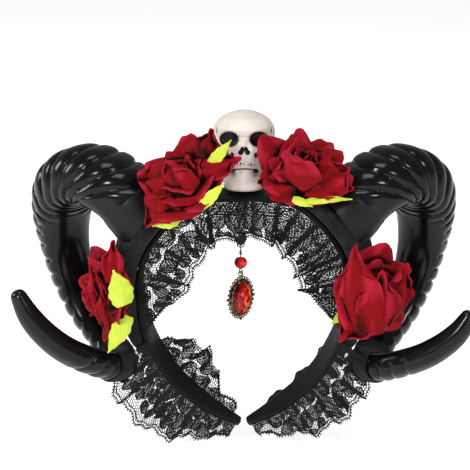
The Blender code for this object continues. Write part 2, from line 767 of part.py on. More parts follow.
def make_bead(material):
    """A cut bead, drilled for the wire, with its middle below the upper pivot."""
    outline = ((0.50, 0.50), (1.00, 0.18), (1.00, -0.18), (0.50, -0.50))
    sides = 10
    outer = [turned_ring(radius * BEAD_RADIUS, BEAD_MIDDLE + height * BEAD_HEIGHT, sides) for radius, height in outline]
    inner = [turned_ring(BEAD_BORE, BEAD_MIDDLE + height * BEAD_HEIGHT, sides) for height in (0.50, -0.50)]
    bm = bmesh.new()
    add_tube(bm, outer, inner)
    return place_object("bead", bm, material, 10.0)


def turned_ring(radius, height, sides, stretch=1.0):
    angles = [2 * math.pi * (k + 0.5) / sides for k in range(sides)]
    return [Vector((radius * math.cos(a), radius * stretch * math.sin(a), height)) for a in angles]


def make_eye_pin(material):
    """The wire through the bead, with an eye above it and one below, a quarter turn and the drop's turn apart."""
    x, y, z = Vector((1, 0, 0)), Vector((0, 1, 0)), Vector((0, 0, 1))
    upper, lower, shank = bmesh.new(), bmesh.new(), bmesh.new()
    add_ring(upper, z * (LINK_REST - EYE_RADIUS), y, z, EYE_RADIUS, WIRE_RADIUS)
    turn = math.radians(SETTING_TURN + 90)
    add_ring(lower, z * (LOWER_PIVOT + EYE_RADIUS), x * math.cos(turn) + y * math.sin(turn), z, EYE_RADIUS, WIRE_RADIUS)
    top, bottom = LINK_REST - 2 * EYE_RADIUS, LOWER_PIVOT + 2 * EYE_RADIUS
    add_loft(shank, [turned_ring(WIRE_RADIUS, height, WIRE_SIDES) for height in (bottom, top)])
    return fuse("eye_pin", [upper, lower, shank], material, 60.0, solver="MANIFOLD")


def oval(half_width, half_height, depth, count, teeth=0.0):
    """A ring of points in the plane of X and Z at Y = depth, round the origin."""
    ring = []
    for k in range(count):
        angle = 2 * math.pi * k / count
        grow = 1 + teeth * (-1) ** k
        ring.append(Vector((half_width * grow * math.cos(angle), depth, half_height * grow * math.sin(angle))))
    return ring


def make_setting(material):
    """The oval setting: a bezel with a floor, a pierced border with a toothed rim, and a bail soldered to its top."""
    count = 2 * PIERCINGS
    back, face = SETTING_THICKNESS / 2, -SETTING_THICKNESS / 2
    border = face + BEZEL_RISE
    hollow = (STONE_WIDTH / 2 + GAP, STONE_HEIGHT / 2 + GAP)
    bezel = (hollow[0] + BEZEL_WALL, hollow[1] + BEZEL_WALL)
    outer = (SETTING_WIDTH / 2, SETTING_HEIGHT / 2)
    rim = (outer[0] - RIM_WALL, outer[1] - RIM_WALL)
    bm = bmesh.new()
    ring = {
        "front_outer": oval(*outer, border, count, RIM_TEETH),
        "front_rim": oval(*rim, border, count),
        "front_bezel": oval(*bezel, border, count),
        "lip_outer": oval(*bezel, face, count),
        "lip_inner": oval(*hollow, face, count),
        "floor": oval(*hollow, face + STONE_RECESS, count),
        "back_outer": oval(*outer, back, count, RIM_TEETH),
        "back_rim": oval(*rim, back, count),
        "back_bezel": oval(*bezel, back, count),
    }
    ring = {name: [bm.verts.new(point) for point in points] for name, points in ring.items()}
    skins = (("back_outer", "front_outer"), ("front_outer", "front_rim"), ("front_rim", "front_bezel"))
    skins += (("front_bezel", "lip_outer"), ("lip_outer", "lip_inner"), ("lip_inner", "floor"))
    skins += (("back_bezel", "back_rim"), ("back_rim", "back_outer"))
    pierced = {("front_rim", "front_bezel"), ("back_bezel", "back_rim")}
    for low, high in skins:
        for k in range(count):
            if (low, high) in pierced and k % 2:
                continue
            after = (k + 1) % count
            bm.faces.new((ring[low][k], ring[low][after], ring[high][after], ring[high][k]))
    for k in range(1, count, 2):
        after = (k + 1) % count
        corners = [(name, place) for name in ("rim", "bezel") for place in (k, after)]
        for (a, m), (b, n) in ((corners[0], corners[1]), (corners[1], corners[3])) + (
            (corners[3], corners[2]), (corners[2], corners[0]),
        ):
            bm.faces.new((ring[f"front_{a}"][m], ring[f"front_{b}"][n], ring[f"back_{b}"][n], ring[f"back_{a}"][m]))
    bm.faces.new(ring["floor"])
    bm.faces.new(ring["back_bezel"][::-1])
    bmesh.ops.recalc_face_normals(bm, faces=bm.faces)
    bmesh.ops.translate(bm, verts=bm.verts, vec=(0, 0, SETTING_MIDDLE))
    bail = bmesh.new()
    add_ring(bail, Vector((0, 0, LINK_REST - EYE_RADIUS)), Vector((1, 0, 0)), Vector((0, 0, 1)), EYE_RADIUS, WIRE_RADIUS)
    return fuse("setting", [bm, bail], material, 40.0, solver="MANIFOLD")


def make_stone(material):
    """The cut stone: a flat table, a row of crown facets and a girdle, in the bezel's hollow."""
    face = -SETTING_THICKNESS / 2
    half = (STONE_WIDTH / 2, STONE_HEIGHT / 2)
    steps = ((1.0, face + STONE_RECESS - GAP), (1.0, face - 0.0003), (0.80, face - 0.6 * STONE_CROWN))
    steps += ((0.50, face - STONE_CROWN),)
    bm = bmesh.new()
    add_loft(bm, [oval(half[0] * share, half[1] * share, depth, 12) for share, depth in steps])
    bmesh.ops.translate(bm, verts=bm.verts, vec=(0, 0, SETTING_MIDDLE))
    return place_object("stone", bm, material, 10.0)


def make_drop(thread, bronze, bead_glass, stone_glass):
    """The hanging drop: a thread loop on the lace, a wire with a bead, and the set stone, each free to swing."""
    bm = bmesh.new()
    loop = Vector((DROP_ACROSS, -DROP_FORWARD, -DROP_BELOW + LOOP_RADIUS))
    add_ring(bm, loop, Vector((1, 0, 0)), Vector((0, 0, 1)), LOOP_RADIUS, WIRE_RADIUS)
    place_object("drop_loop", bm, thread, 60.0)
    upper = pivot("upper_pivot", (DROP_ACROSS, -DROP_FORWARD, -DROP_BELOW))
    lower = pivot("lower_pivot", (DROP_ACROSS, -DROP_FORWARD, LOWER_PIVOT - DROP_BELOW), SETTING_TURN)
    hang(make_eye_pin(bronze), upper)
    hang(make_bead(bead_glass), upper)
    hang(make_setting(bronze), lower)
    hang(make_stone(stone_glass), lower)


def main():
    for existing in list(bpy.data.objects):
        bpy.data.objects.remove(existing)
    satin = principled("black_satin", (0.012, 0.012, 0.013), 0.55)
    felt = principled("black_felt", (0.010, 0.010, 0.011), 0.95)
    horn = principled("black_horn", (0.008, 0.008, 0.009), 0.28)
    bone = principled("ivory_resin", (0.72, 0.64, 0.50), 0.55)
    velvet = principled("red_velvet", (0.30, 0.006, 0.016), 0.85)
    lime = principled("lime_cloth", (0.50, 0.68, 0.04), 0.70)
    bronze = principled("aged_bronze", (0.26, 0.17, 0.07), 0.42, 1.0)
    red_bead = principled("red_bead_glass", (0.70, 0.02, 0.01), 0.05)
    red_stone = principled("red_stone_glass", (0.55, 0.01, 0.01), 0.05)
    thread = principled("black_lace", (0.010, 0.010, 0.010), 0.80)
    make_band(satin)
    for side, name in ((-1, "left"), (1, "right")):
        make_pad(f"felt_pad_{name}", side, felt)
        make_horn(f"horn_{name}", side, horn)
        make_sleeve(f"horn_cuff_{name}", side, 0.006, CUFF_END, 3, felt)
        make_sleeve(f"horn_wrap_{name}", side, WRAP_START, WRAP_END, 6, felt)
    make_skull(bone)
    for row in ROSES:
        make_rose(*row, velvet)
    for row in LEAVES:
        make_leaf(*row, lime)
    make_lace(thread)
    make_drop(thread, bronze, red_bead, red_stone)


main()
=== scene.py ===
"""Looks of a costume headband: curled horns, velvet roses, a small skull, gathered lace and a jewelled drop.

X runs across the head, Y from the face to the back of the head and Z up, in metres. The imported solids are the
frame, and each class here dresses one sub-assembly of them.
"""

import json
import logging
import math
from collections.abc import Callable, Iterable, Iterator, Sequence
from contextlib import contextmanager
from dataclasses import dataclass
from enum import Enum

import bpy
import numpy as np
from mathutils import Matrix, Vector
from mathutils.bvhtree import BVHTree

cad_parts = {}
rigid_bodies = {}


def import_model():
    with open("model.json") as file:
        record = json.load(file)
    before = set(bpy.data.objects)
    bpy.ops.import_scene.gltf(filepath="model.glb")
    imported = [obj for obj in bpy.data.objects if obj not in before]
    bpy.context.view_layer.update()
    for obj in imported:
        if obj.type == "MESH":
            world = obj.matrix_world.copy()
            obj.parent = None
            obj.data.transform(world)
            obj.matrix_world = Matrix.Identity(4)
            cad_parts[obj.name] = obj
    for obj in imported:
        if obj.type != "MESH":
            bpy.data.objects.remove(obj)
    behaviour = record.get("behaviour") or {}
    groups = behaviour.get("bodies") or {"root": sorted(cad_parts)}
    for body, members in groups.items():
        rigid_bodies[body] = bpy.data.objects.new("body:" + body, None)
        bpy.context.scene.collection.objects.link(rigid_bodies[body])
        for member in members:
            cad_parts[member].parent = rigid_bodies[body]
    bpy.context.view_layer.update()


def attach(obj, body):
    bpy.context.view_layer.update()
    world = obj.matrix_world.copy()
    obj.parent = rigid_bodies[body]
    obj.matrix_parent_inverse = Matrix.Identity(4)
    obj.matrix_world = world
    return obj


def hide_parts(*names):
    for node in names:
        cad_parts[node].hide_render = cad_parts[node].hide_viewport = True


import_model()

LOG = logging.getLogger("headband")
Array = np.ndarray
Shape = Callable[[Array, Array], Array]

Triple = tuple[float, float, float]
Motif = tuple[float, float, float, float, float]
Piece = bpy.types.Object
Material = bpy.types.Material

MM = 0.001
WELD = 2e-6
THREAD_LIFT = 0.15


class Side(Enum):
    """The wearer's two sides as the camera sees them."""

    LEFT = -1
    RIGHT = 1

    @property
    def word(self) -> str:
        """The side's name in the nodes' names."""
        return self.name.lower()


class Body(Enum):
    """The rigid bodies that pieces ride on."""

    HEADBAND = "headband"
    WIRE = "drop_wire"
    DROP = "drop"


class Edge(Enum):
    """The edge of the hoop that a ruffle is sewn to, and the way that it runs."""

    FRONT_INNER = "front_inner"
    FRONT_OUTER = "front_outer"
    BACK_INNER = "back_inner"
    BACK_PLAIN = "back_plain"


def catmull_rom(rows: Sequence[Sequence[float]], along: Array) -> Array:
    """Reads a smooth curve through equally spaced rows of numbers.

    Args:
        rows: the table, a row for each knot.
        along: places on the curve, from 0 to 1.

    Returns:
        One row for each place.
    """
    table = np.asarray(rows, float)
    place = np.clip(along, 0.0, 1.0) * (len(table) - 1)
    first = np.minimum(place.astype(int), len(table) - 2)
    t = (place - first)[:, None]
    a, b, c, d = (table[np.clip(first + step, 0, len(table) - 1)] for step in (-1, 0, 1, 2))
    return 0.5 * (2 * b + (c - a) * t + (2 * a - 5 * b + 4 * c - d) * t**2 + (3 * b - a - 3 * c + d) * t**3)


def smooth_step(low: float, high: float, value: Array) -> Array:
    """Eases from 0 at low to 1 at high."""
    share = np.clip((value - low) / (high - low), 0.0, 1.0)
    return share * share * (3 - 2 * share)


def crest(value: Array, middle: float | Array, spread: float) -> Array:
    """A soft ridge of height 1 along a middle value."""
    return np.exp(-(((value - middle) / spread) ** 2))


def bell(x: Array, z: Array, centre: tuple[float, float], spread: tuple[float, float]) -> Array:
    """A soft bump of height 1 round a centre."""
    return crest(x, centre[0], spread[0]) * crest(z, centre[1], spread[1])


def dots(value: Array, pitch: float, power: float) -> Array:
    """A row of dots at a pitch, narrower with a higher power."""
    return (0.5 + 0.5 * np.cos(math.tau * value / pitch)) ** power


def squared(a: Array, b: Array, power: float) -> Array:
    """How far a squared-off circle reaches in the direction with cosine a and sine b."""
    return (np.abs(a) ** power + np.abs(b) ** power) ** (-1 / power)


def end_caps(v: Array, share: float) -> Array:
    """Rounds off a run from 0 to 1: it is 1 along the run and falls to 0 over a share at its ends."""
    return np.sqrt(np.clip(1 - (2 * np.abs(v - 0.5) - (1 - share)).clip(0) ** 2 / share**2, 0.0, 1.0))


def on_cloth(x: Array, y: Array) -> Array:
    """Places on the flat cloth as points, for ripple to read."""
    return np.stack([x, y, np.zeros(len(x))], axis=1)


def upward(height: float) -> Array:
    """The step straight up by a height."""
    return np.array([0.0, 0.0, height])


def spun(points: Array, degrees: float, axis: str) -> Array:
    """Turns points about an axis through the origin."""
    return points @ np.array(Matrix.Rotation(math.radians(degrees), 3, axis)).T


def unit(vectors: Array) -> Array:
    """Scales each row to length 1."""
    return vectors / np.maximum(np.linalg.norm(vectors, axis=-1, keepdims=True), 1e-12)


def ripple(points: Array, size: float, seed: int) -> Array:
    """A smooth pseudo-random value from -1 to 1 at each point.

    Args:
        points: where to read it, one row each.
        size: the typical distance between its crests.
        seed: which of the patterns to read.

    Returns:
        One value for each point.
    """
    draw = np.random.default_rng(seed)
    total = np.zeros(len(points))
    for _ in range(5):
        direction = draw.normal(size=3) * (math.tau / size) * 0.6
        total += np.sin(points @ direction + draw.uniform(0, math.tau))
    return total / 5


class Bench:
    """Blender's modelling operators, each on one object that is selected by itself."""

    @staticmethod
    def clear() -> None:
        """Leaves nothing selected."""
        for other in bpy.context.view_layer.objects:
            other.select_set(False)

    @classmethod
    def take(cls, *pieces: Piece) -> None:
        """Selects the given pieces alone, the first one active."""
        cls.clear()
        for piece in pieces:
            piece.select_set(True)
        bpy.context.view_layer.objects.active = pieces[0]

    @classmethod
    @contextmanager
    def editing(cls, piece: Piece) -> Iterator[None]:
        """Opens a piece in edit mode with all of it selected, and closes it again."""
        cls.take(piece)
        bpy.ops.object.mode_set(mode="EDIT")
        bpy.ops.mesh.select_all(action="SELECT")
        yield
        bpy.ops.object.mode_set(mode="OBJECT")

    @staticmethod
    def named(name: str) -> Piece:
        """Names the piece that is active."""
        piece = bpy.context.view_layer.objects.active
        piece.name = name
        piece.data.name = name
        return piece

    @classmethod
    def grid(cls, name: str, columns: int, rows: int, shape: Shape) -> Piece:
        """Adds a grid and moves its points to a surface.

        Args:
            name: the piece's name.
            columns: faces along the first direction.
            rows: faces along the second direction.
            shape: gives a point for each pair of places from 0 to 1.

        Returns:
            The new piece, with the grid's own UV map.
        """
        cls.clear()
        bpy.ops.mesh.primitive_grid_add(x_subdivisions=columns, y_subdivisions=rows, size=2, calc_uvs=True)
        piece = cls.named(name)
        flat = cls.points(piece)
        cls.move(piece, shape((flat[:, 0] + 1) / 2, (flat[:, 1] + 1) / 2))
        return piece

    @staticmethod
    def points(piece: Piece) -> Array:
        """The piece's points, one row each."""
        flat = np.empty(len(piece.data.vertices) * 3)
        piece.data.vertices.foreach_get("co", flat)
        return flat.reshape(-1, 3)

    @staticmethod
    def move(piece: Piece, points: Array) -> None:
        """Moves the piece's points."""
        piece.data.vertices.foreach_set("co", np.ascontiguousarray(points, float).ravel())
        piece.data.update()

    @classmethod
    def weld(cls, piece: Piece, distance: float = WELD, outward: bool = True) -> None:
        """Merges coinciding points and turns the faces outwards."""
        with cls.editing(piece):
            bpy.ops.mesh.remove_doubles(threshold=distance)
            if outward:
                bpy.ops.mesh.normals_make_consistent(inside=False)

    @classmethod
    def modify(cls, piece: Piece, kind: str, **settings: object) -> None:
        """Adds one modifier, sets it and applies it."""
        cls.take(piece)
        modifier = piece.modifiers.new(kind.title(), kind)
        for name, value in settings.items():
            setattr(modifier, name, value)
        bpy.ops.object.modifier_apply(modifier=modifier.name)

    @classmethod
    def wall(cls, piece: Piece, thickness: float) -> None:
        """Gives a sheet its thickness, half on each side."""
        cls.modify(piece, "SOLIDIFY", thickness=thickness, offset=0.0, use_even_offset=False)

    @classmethod
    def join(cls, name: str, pieces: Sequence[Piece]) -> Piece:
        """Joins pieces into one object with the given name."""
        cls.take(*pieces)
        if len(pieces) > 1:
            bpy.ops.object.join()
        return cls.named(name)

    @classmethod
    def smooth(cls, piece: Piece, angle: float = 40.0) -> None:
        """Shades a piece smooth up to an angle between faces."""
        cls.take(piece)
        bpy.ops.object.shade_smooth_by_angle(angle=math.radians(angle))

    @staticmethod
    def attribute(piece: Piece, name: str, values: Array) -> None:
        """Stores one number for each point, which a material reads."""
        layer = piece.data.attributes.new(name, "FLOAT", "POINT")
        layer.data.foreach_set("value", np.ascontiguousarray(values, np.float32))

    @classmethod
    def strands(cls, name: str, starts: Array, ends: Array, radii: Array, facing: Array) -> Piece:
        """Makes many short straight threads as one mesh, each a closed bar of three sides.

        Args:
            name: the piece's name.
            starts: first end of each thread.
            ends: second end of each thread.
            radii: each thread's radius.
            facing: a direction across each thread.

        Returns:
            The new piece.
        """
        run = unit(ends - starts)
        across = unit(np.cross(run, facing))
        lift = np.cross(across, run)
        corners = []
        for end in (starts, ends):
            for k in range(3):
                turn = math.tau * k / 3 + math.pi / 2
                away = across * math.cos(turn) + lift * math.sin(turn) * THREAD_LIFT
                corners.append(end + away * radii[:, None])
        points = np.stack(corners, axis=1).reshape(-1, 3)
        base = 6 * np.arange(len(starts))[:, None]
        sides = [base + np.array([[a, (a + 1) % 3, (a + 1) % 3 + 3, a + 3]]) for a in range(3)]
        caps = [base + np.array([[2, 1, 0]]), base + np.array([[3, 4, 5]])]
        return cls.raw(name, points, [*sides, *caps])

    @staticmethod
    def raw(name: str, points: Array, faces: Sequence[Array]) -> Piece:
        """Makes a mesh from points and groups of faces that have as many corners each."""
        mesh = bpy.data.meshes.new(name)
        mesh.vertices.add(len(points))
        mesh.vertices.foreach_set("co", np.ascontiguousarray(points, float).ravel())
        if faces:
            corners = np.concatenate([group.ravel() for group in faces])
            counts = np.concatenate([np.full(len(group), group.shape[1]) for group in faces])
            mesh.loops.add(len(corners))
            mesh.loops.foreach_set("vertex_index", corners.astype(np.int32))
            mesh.polygons.add(len(counts))
            firsts = np.concatenate([[0], np.cumsum(counts)[:-1]])
            mesh.polygons.foreach_set("loop_start", firsts.astype(np.int32))
        mesh.update(calc_edges=True)
        mesh.validate()
        piece = bpy.data.objects.new(name, mesh)
        bpy.context.scene.collection.objects.link(piece)
        return piece

    @classmethod
    def cord(cls, name: str, lines: Iterable[Array], radius: float, sides: int = 6,
             closed: bool = False) -> Piece:
        """Makes thin cords along lines, as one mesh.

        Args:
            name: the piece's name.
            lines: the points of each cord.
            radius: the cords' radius.
            sides: flat sides round a cord.
            closed: whether each cord is a ring.

        Returns:
            The new piece.
        """
        points, quads, caps, used = [], [], [], 0
        turns = math.tau * np.arange(sides) / sides
        cos, sin = np.cos(turns)[None, :, None], np.sin(turns)[None, :, None]
        here, beside = np.arange(sides), (np.arange(sides) + 1) % sides
        for line in lines:
            count = len(line)
            if closed:
                run = unit(np.roll(line, -1, axis=0) - np.roll(line, 1, axis=0))
            else:
                run = unit(np.gradient(line, axis=0))
            guide = np.array([0.0, 1.0, 0.0]) if abs(run[:, 1]).max() < 0.95 else np.array([0.31, 0.2, 0.93])
            across = unit(np.cross(run, guide))
            lift = np.cross(across, run)
            points.append((line[:, None] + (cos * across[:, None] + sin * lift[:, None]) * radius).reshape(-1, 3))
            steps = np.arange(count if closed else count - 1)[:, None]
            low, high = steps * sides, (steps + 1) % count * sides
            walls = np.stack([low + here, low + beside, high + beside, high + here], axis=-1)
            quads.append(walls.reshape(-1, 4) + used)
            if not closed:
                caps.append(np.stack([here[::-1], (count - 1) * sides + here]) + used)
            used += count * sides
        faces = [np.concatenate(quads)]
        if caps:
            faces.append(np.concatenate(caps))
        return cls.raw(name, np.concatenate(points), faces)


class Socket:
    """A shader socket whose Python operators add Math nodes."""

    def __init__(self, tree: bpy.types.NodeTree, source: bpy.types.NodeSocket) -> None:
        """Keeps the tree and the socket that the value comes from."""
        self.tree = tree
        self.source = source

    def _math(self, operation: str, first: object, second: object) -> "Socket":
        """Adds a Math node.

        Args:
            operation: the node's operation.
            first: its first value or socket.
            second: its second value or socket.

        Returns:
            The node's result.
        """
        made = self.tree.nodes.new("ShaderNodeMath")
        made.operation = operation
        for place, value in zip(made.inputs, (first, second)):
            if isinstance(value, Socket):
                self.tree.links.new(value.source, place)
            else:
                place.default_value = float(value)
        return Socket(self.tree, made.outputs[0])

    def __add__(self, other: object) -> "Socket":
        """Adds."""
        return self._math("ADD", self, other)

    def __radd__(self, other: object) -> "Socket":
        """Adds, with the value on the left."""
        return self._math("ADD", other, self)

    def __sub__(self, other: object) -> "Socket":
        """Subtracts."""
        return self._math("SUBTRACT", self, other)

    def __rsub__(self, other: object) -> "Socket":
        """Subtracts from the value on the left."""
        return self._math("SUBTRACT", other, self)

    def __mul__(self, other: object) -> "Socket":
        """Multiplies."""
        return self._math("MULTIPLY", self, other)

    def __rmul__(self, other: object) -> "Socket":
        """Multiplies, with the value on the left."""
        return self._math("MULTIPLY", other, self)


class Finish:
    """A material under construction, with its shader and its nodes."""

    def __init__(self, name: str) -> None:
        """Starts a material with one Principled shader."""
        self.material = bpy.data.materials.new(name)
        self.material.use_nodes = True
        self.tree = self.material.node_tree
        self.shader = self.tree.nodes["Principled BSDF"]

    def node(self, kind: str, settings: dict[str, object] | None = None,
             sockets: dict[str | int, object] | None = None, output: str | int = 0) -> Socket:
        """Adds any node that isn't a Math node.

        Args:
            kind: the node's type, without its ShaderNode prefix.
            settings: its properties, and under stops a ramp's places and colours.
            sockets: values or sockets for its inputs.
            output: the output to hand back.

        Returns:
            The chosen output.
        """
        made = self.tree.nodes.new(f"ShaderNode{kind}")
        for name, value in (settings or {}).items():
            if name == "stops":
                ramp = made.color_ramp
                while len(ramp.elements) < len(value):
                    ramp.elements.new(0.5)
                for element, (place, colour) in zip(ramp.elements, value):
                    element.position = place
                    element.color = (*colour, 1.0)
            else:
                setattr(made, name, value)
        for name, value in (sockets or {}).items():
            self.feed(made.inputs[name], value)
        return Socket(self.tree, made.outputs[output])

    def feed(self, place: bpy.types.NodeSocket, value: object) -> None:
        """Links a socket or sets a value."""
        if isinstance(value, Socket):
            self.tree.links.new(value.source, place)
        elif isinstance(value, tuple) and len(value) == 3 and place.type == "RGBA":
            place.default_value = (*value, 1.0)
        else:
            place.default_value = value

    def set(self, **values: object) -> None:
        """Sets inputs of the main shader, with underscores for the spaces in their names."""
        for name, value in values.items():
            self.feed(self.shader.inputs[name.replace("_", " ").title().replace("Ior", "IOR")], value)

    def place(self) -> Socket:
        """The object's own coordinates."""
        return self.node("TexCoord", output="Object")

    def uv(self) -> Socket:
        """The piece's own UV map."""
        return self.node("TexCoord", output="UV")

    def noise(self, size: float, detail: float = 3.0, roughness: float = 0.55) -> Socket:
        """A cloudy value whose blotches have the given size."""
        inputs = {"Vector": self.place(), "Scale": 1 / size, "Detail": detail, "Roughness": roughness}
        return self.node("TexNoise", None, inputs)

    def attribute(self, name: str) -> Socket:
        """A number that the piece stores for each point."""
        return self.node("Attribute", {"attribute_name": name}, output="Fac")

    def ramp(self, value: Socket, *stops: tuple[float, Triple]) -> Socket:
        """Turns a value into a colour."""
        return self.node("ValToRGB", {"stops": stops}, {"Fac": value})

    def blend(self, share: object, first: object, second: object) -> Socket:
        """Mixes two colours, whose sockets only the node's numbers tell apart."""
        return self.node("Mix", {"data_type": "RGBA"}, {0: share, 6: first, 7: second}, 2)

    def bump(self, height: Socket, depth: float, strength: float = 1.0) -> None:
        """Raises the surface by a pattern of the given depth."""
        normal = self.node("Bump", None, {"Height": height, "Distance": depth, "Strength": strength})
        self.feed(self.shader.inputs["Normal"], normal)


@dataclass(frozen=True)
class Look:
    """A finish for one kind of surface."""

    name: str

    def make(self) -> Material:
        """Builds the material."""
        work = Finish(self.name)
        self.paint(work)
        return work.material

    def paint(self, work: Finish) -> None:
        """Sets the shader's inputs, as each finish does in its own way."""
        raise NotImplementedError


@dataclass(frozen=True)
class MouldedHorn(Look):
    """Glossy black moulding with faint scuffs."""

    name: str = "horn_moulding"
    colour: Triple = (0.0022, 0.0022, 0.0027)
    scuffed: Triple = (0.006, 0.006, 0.007)
    grain: float = 0.9 * MM

    def paint(self, work: Finish) -> None:
        """Sets a clouded black under an uneven gloss."""
        cloud, fine = work.noise(14 * MM, 4.0), work.noise(self.grain)
        work.set(base_color=work.ramp(cloud, (0.45, self.colour), (0.75, self.scuffed)))
        work.set(roughness=0.13 + cloud * 0.07 + fine * 0.02, specular_ior_level=0.19)
        work.bump(fine * 0.25 + cloud, 0.20 * MM, 0.35)


@dataclass(frozen=True)
class BlackCloth(Look):
    """A black cloth: its weave, its nap and how it shines."""

    dark: Triple
    light: Triple
    fibre: float
    roughness: float
    sheen: float
    relief: float

    def paint(self, work: Finish) -> None:
        """Sets fuzz over larger patches."""
        fuzz, patch = work.noise(self.fibre, 5.0, 0.7), work.noise(self.fibre * 9)
        work.set(base_color=work.ramp(fuzz * 0.65 + patch * 0.35, (0.42, self.dark), (0.66, self.light)))
        work.set(roughness=self.roughness, specular_ior_level=0.16)
        work.set(sheen_weight=self.sheen, sheen_roughness=0.45)
        work.bump(fuzz, self.relief, 0.9)


@dataclass(frozen=True)
class NetCloth(Look):
    """Smooth black cloth under a fine net, stretched over the horn's root."""

    name: str = "net_over_horn"
    pitch: float = 0.9 * MM
    thread: Triple = (0.0015, 0.0015, 0.0018)
    ground: Triple = (0.004, 0.004, 0.005)

    def paint(self, work: Finish) -> None:
        """Sets the net's cells and a clouded shine."""
        cells = work.node("TexVoronoi", {"feature": "DISTANCE_TO_EDGE"},
                          {"Vector": work.place(), "Scale": 1 / self.pitch})
        work.set(base_color=work.ramp(cells, (0.05, self.thread), (0.22, self.ground)))
        work.set(roughness=0.30 + work.noise(8 * MM) * 0.20, specular_ior_level=0.20)
        work.bump(cells, 0.14 * MM, 0.7)


@dataclass(frozen=True)
class SkullResin(Look):
    """Ivory casting with a dark wash in its hollows, which the attribute wash gives."""

    name: str = "skull_resin"
    bone: Triple = (0.600, 0.548, 0.500)
    warm: Triple = (0.530, 0.468, 0.405)
    stain: Triple = (0.012, 0.008, 0.007)

    def paint(self, work: Finish) -> None:
        """Sets clouded bone and soaks the wash into it."""
        cloud, speck = work.noise(9 * MM, 4.0), work.noise(0.8 * MM, 3.0, 0.6)
        bone = work.ramp(cloud, (0.35, self.warm), (0.60, self.bone))
        wash = work.attribute("wash") + (speck - 0.5) * 0.45
        soak = work.ramp(wash, (0.22, (0.0, 0.0, 0.0)), (0.55, (1.0, 1.0, 1.0)))
        work.set(base_color=work.blend(soak, bone, self.stain), roughness=0.42 + speck * 0.18)
        work.set(subsurface_weight=0.12, subsurface_scale=0.002)
        work.bump(speck + cloud, 0.10 * MM, 0.4)


@dataclass(frozen=True)
class RoseVelvet(Look):
    """Dark red velvet whose pile shines pinkish. The attribute nap holds each petal's own tone together with painted
    shade deep between the petals and in the pleats, and painted highlights along rims and crests.
    """

    name: str = "rose_velvet"
    # deep is the colour of the painted shade in the hollows; pink_highlight is the colour of the painted highlights
    # and of the lightest petals.
    deep: Triple = (0.006, 0.0003, 0.0008)
    red: Triple = (0.165, 0.0014, 0.0036)
    pink_highlight: Triple = (0.29, 0.007, 0.022)
    shine: Triple = (1.0, 0.18, 0.26)

    def paint(self, work: Finish) -> None:
        """Sets the tones, from deep painted shade through red to the painted pink_highlight, its clouds and its pile.
        """
        pile = work.noise(0.35 * MM, 3.0, 0.7)
        shade = work.attribute("nap") * 0.80 + work.noise(7 * MM) * 0.25 + pile * 0.06
        tones = ((0.12, self.deep), (0.50, self.red), (0.72, self.red), (1.0, self.pink_highlight))
        work.set(base_color=work.ramp(shade, *tones), roughness=0.86, specular_ior_level=0.10)
        work.set(sheen_weight=0.13, sheen_roughness=0.28, sheen_tint=self.shine)
        work.bump(pile, 0.06 * MM, 0.6)


@dataclass(frozen=True)
class LeafCloth(Look):
    """Yellow-green satin with fine pressed veins."""

    name: str = "leaf_cloth"
    light: Triple = (0.50, 0.60, 0.040)
    dark: Triple = (0.30, 0.41, 0.014)

    def paint(self, work: Finish) -> None:
        """Sets slanting veins, clouds and thread."""
        veins = work.node("TexWave", {"wave_type": "BANDS", "bands_direction": "DIAGONAL"},
                          {"Vector": work.uv(), "Scale": 5.0, "Distortion": 1.5, "Detail": 2.0, "Detail Scale": 1.5})
        cloud, thread = work.noise(6 * MM), work.noise(0.25 * MM)
        shade = cloud * 0.6 + veins * 0.25 + thread * 0.15
        work.set(base_color=work.ramp(shade, (0.30, self.dark), (0.60, self.light)))
        work.set(roughness=0.50, sheen_weight=0.15, specular_ior_level=0.35)
        work.bump(veins * 0.7 + thread * 0.3, 0.14 * MM, 0.5)


@dataclass(frozen=True)
class AgedBronze(Look):
    """Bronze rubbed bright in places and dark between them."""

    name: str = "aged_bronze"
    bright: Triple = (0.30, 0.21, 0.11)
    dark: Triple = (0.018, 0.013, 0.009)

    def paint(self, work: Finish) -> None:
        """Sets the tarnish."""
        cloud = work.noise(1.6 * MM, 4.0, 0.6)
        work.set(base_color=work.ramp(cloud, (0.44, self.dark), (0.66, self.bright)))
        work.set(metallic=1.0, roughness=0.26 + cloud * 0.30)
        work.bump(cloud, 0.08 * MM, 0.5)


@dataclass(frozen=True)
class CutGlass(Look):
    """Red cut glass with painted light. The attribute fire holds each facet's painted brightness, from painted shade
    to painted glint.
    """

    low: Triple
    middle: Triple
    high: Triple
    glint: Triple

    def paint(self, work: Finish) -> None:
        """Sets each facet's painted shade, highlight or glint from its fire."""
        fire = work.attribute("fire") + (work.noise(1.8 * MM, 2.0) - 0.5) * 0.24
        # low is the painted shade of facets turned away; high and glint are painted highlights.
        tones = ((0.12, self.low), (0.50, self.middle), (0.80, self.high), (0.97, self.glint))
        work.set(base_color=work.ramp(fire, *tones), roughness=0.08, specular_ior_level=0.22)


@dataclass(frozen=True)
class HoopFrame:
    """Places on the hoop: the strip's middle, the ways out and forward, and its width."""

    middle: Array
    out: Array
    front: Array
    width: Array


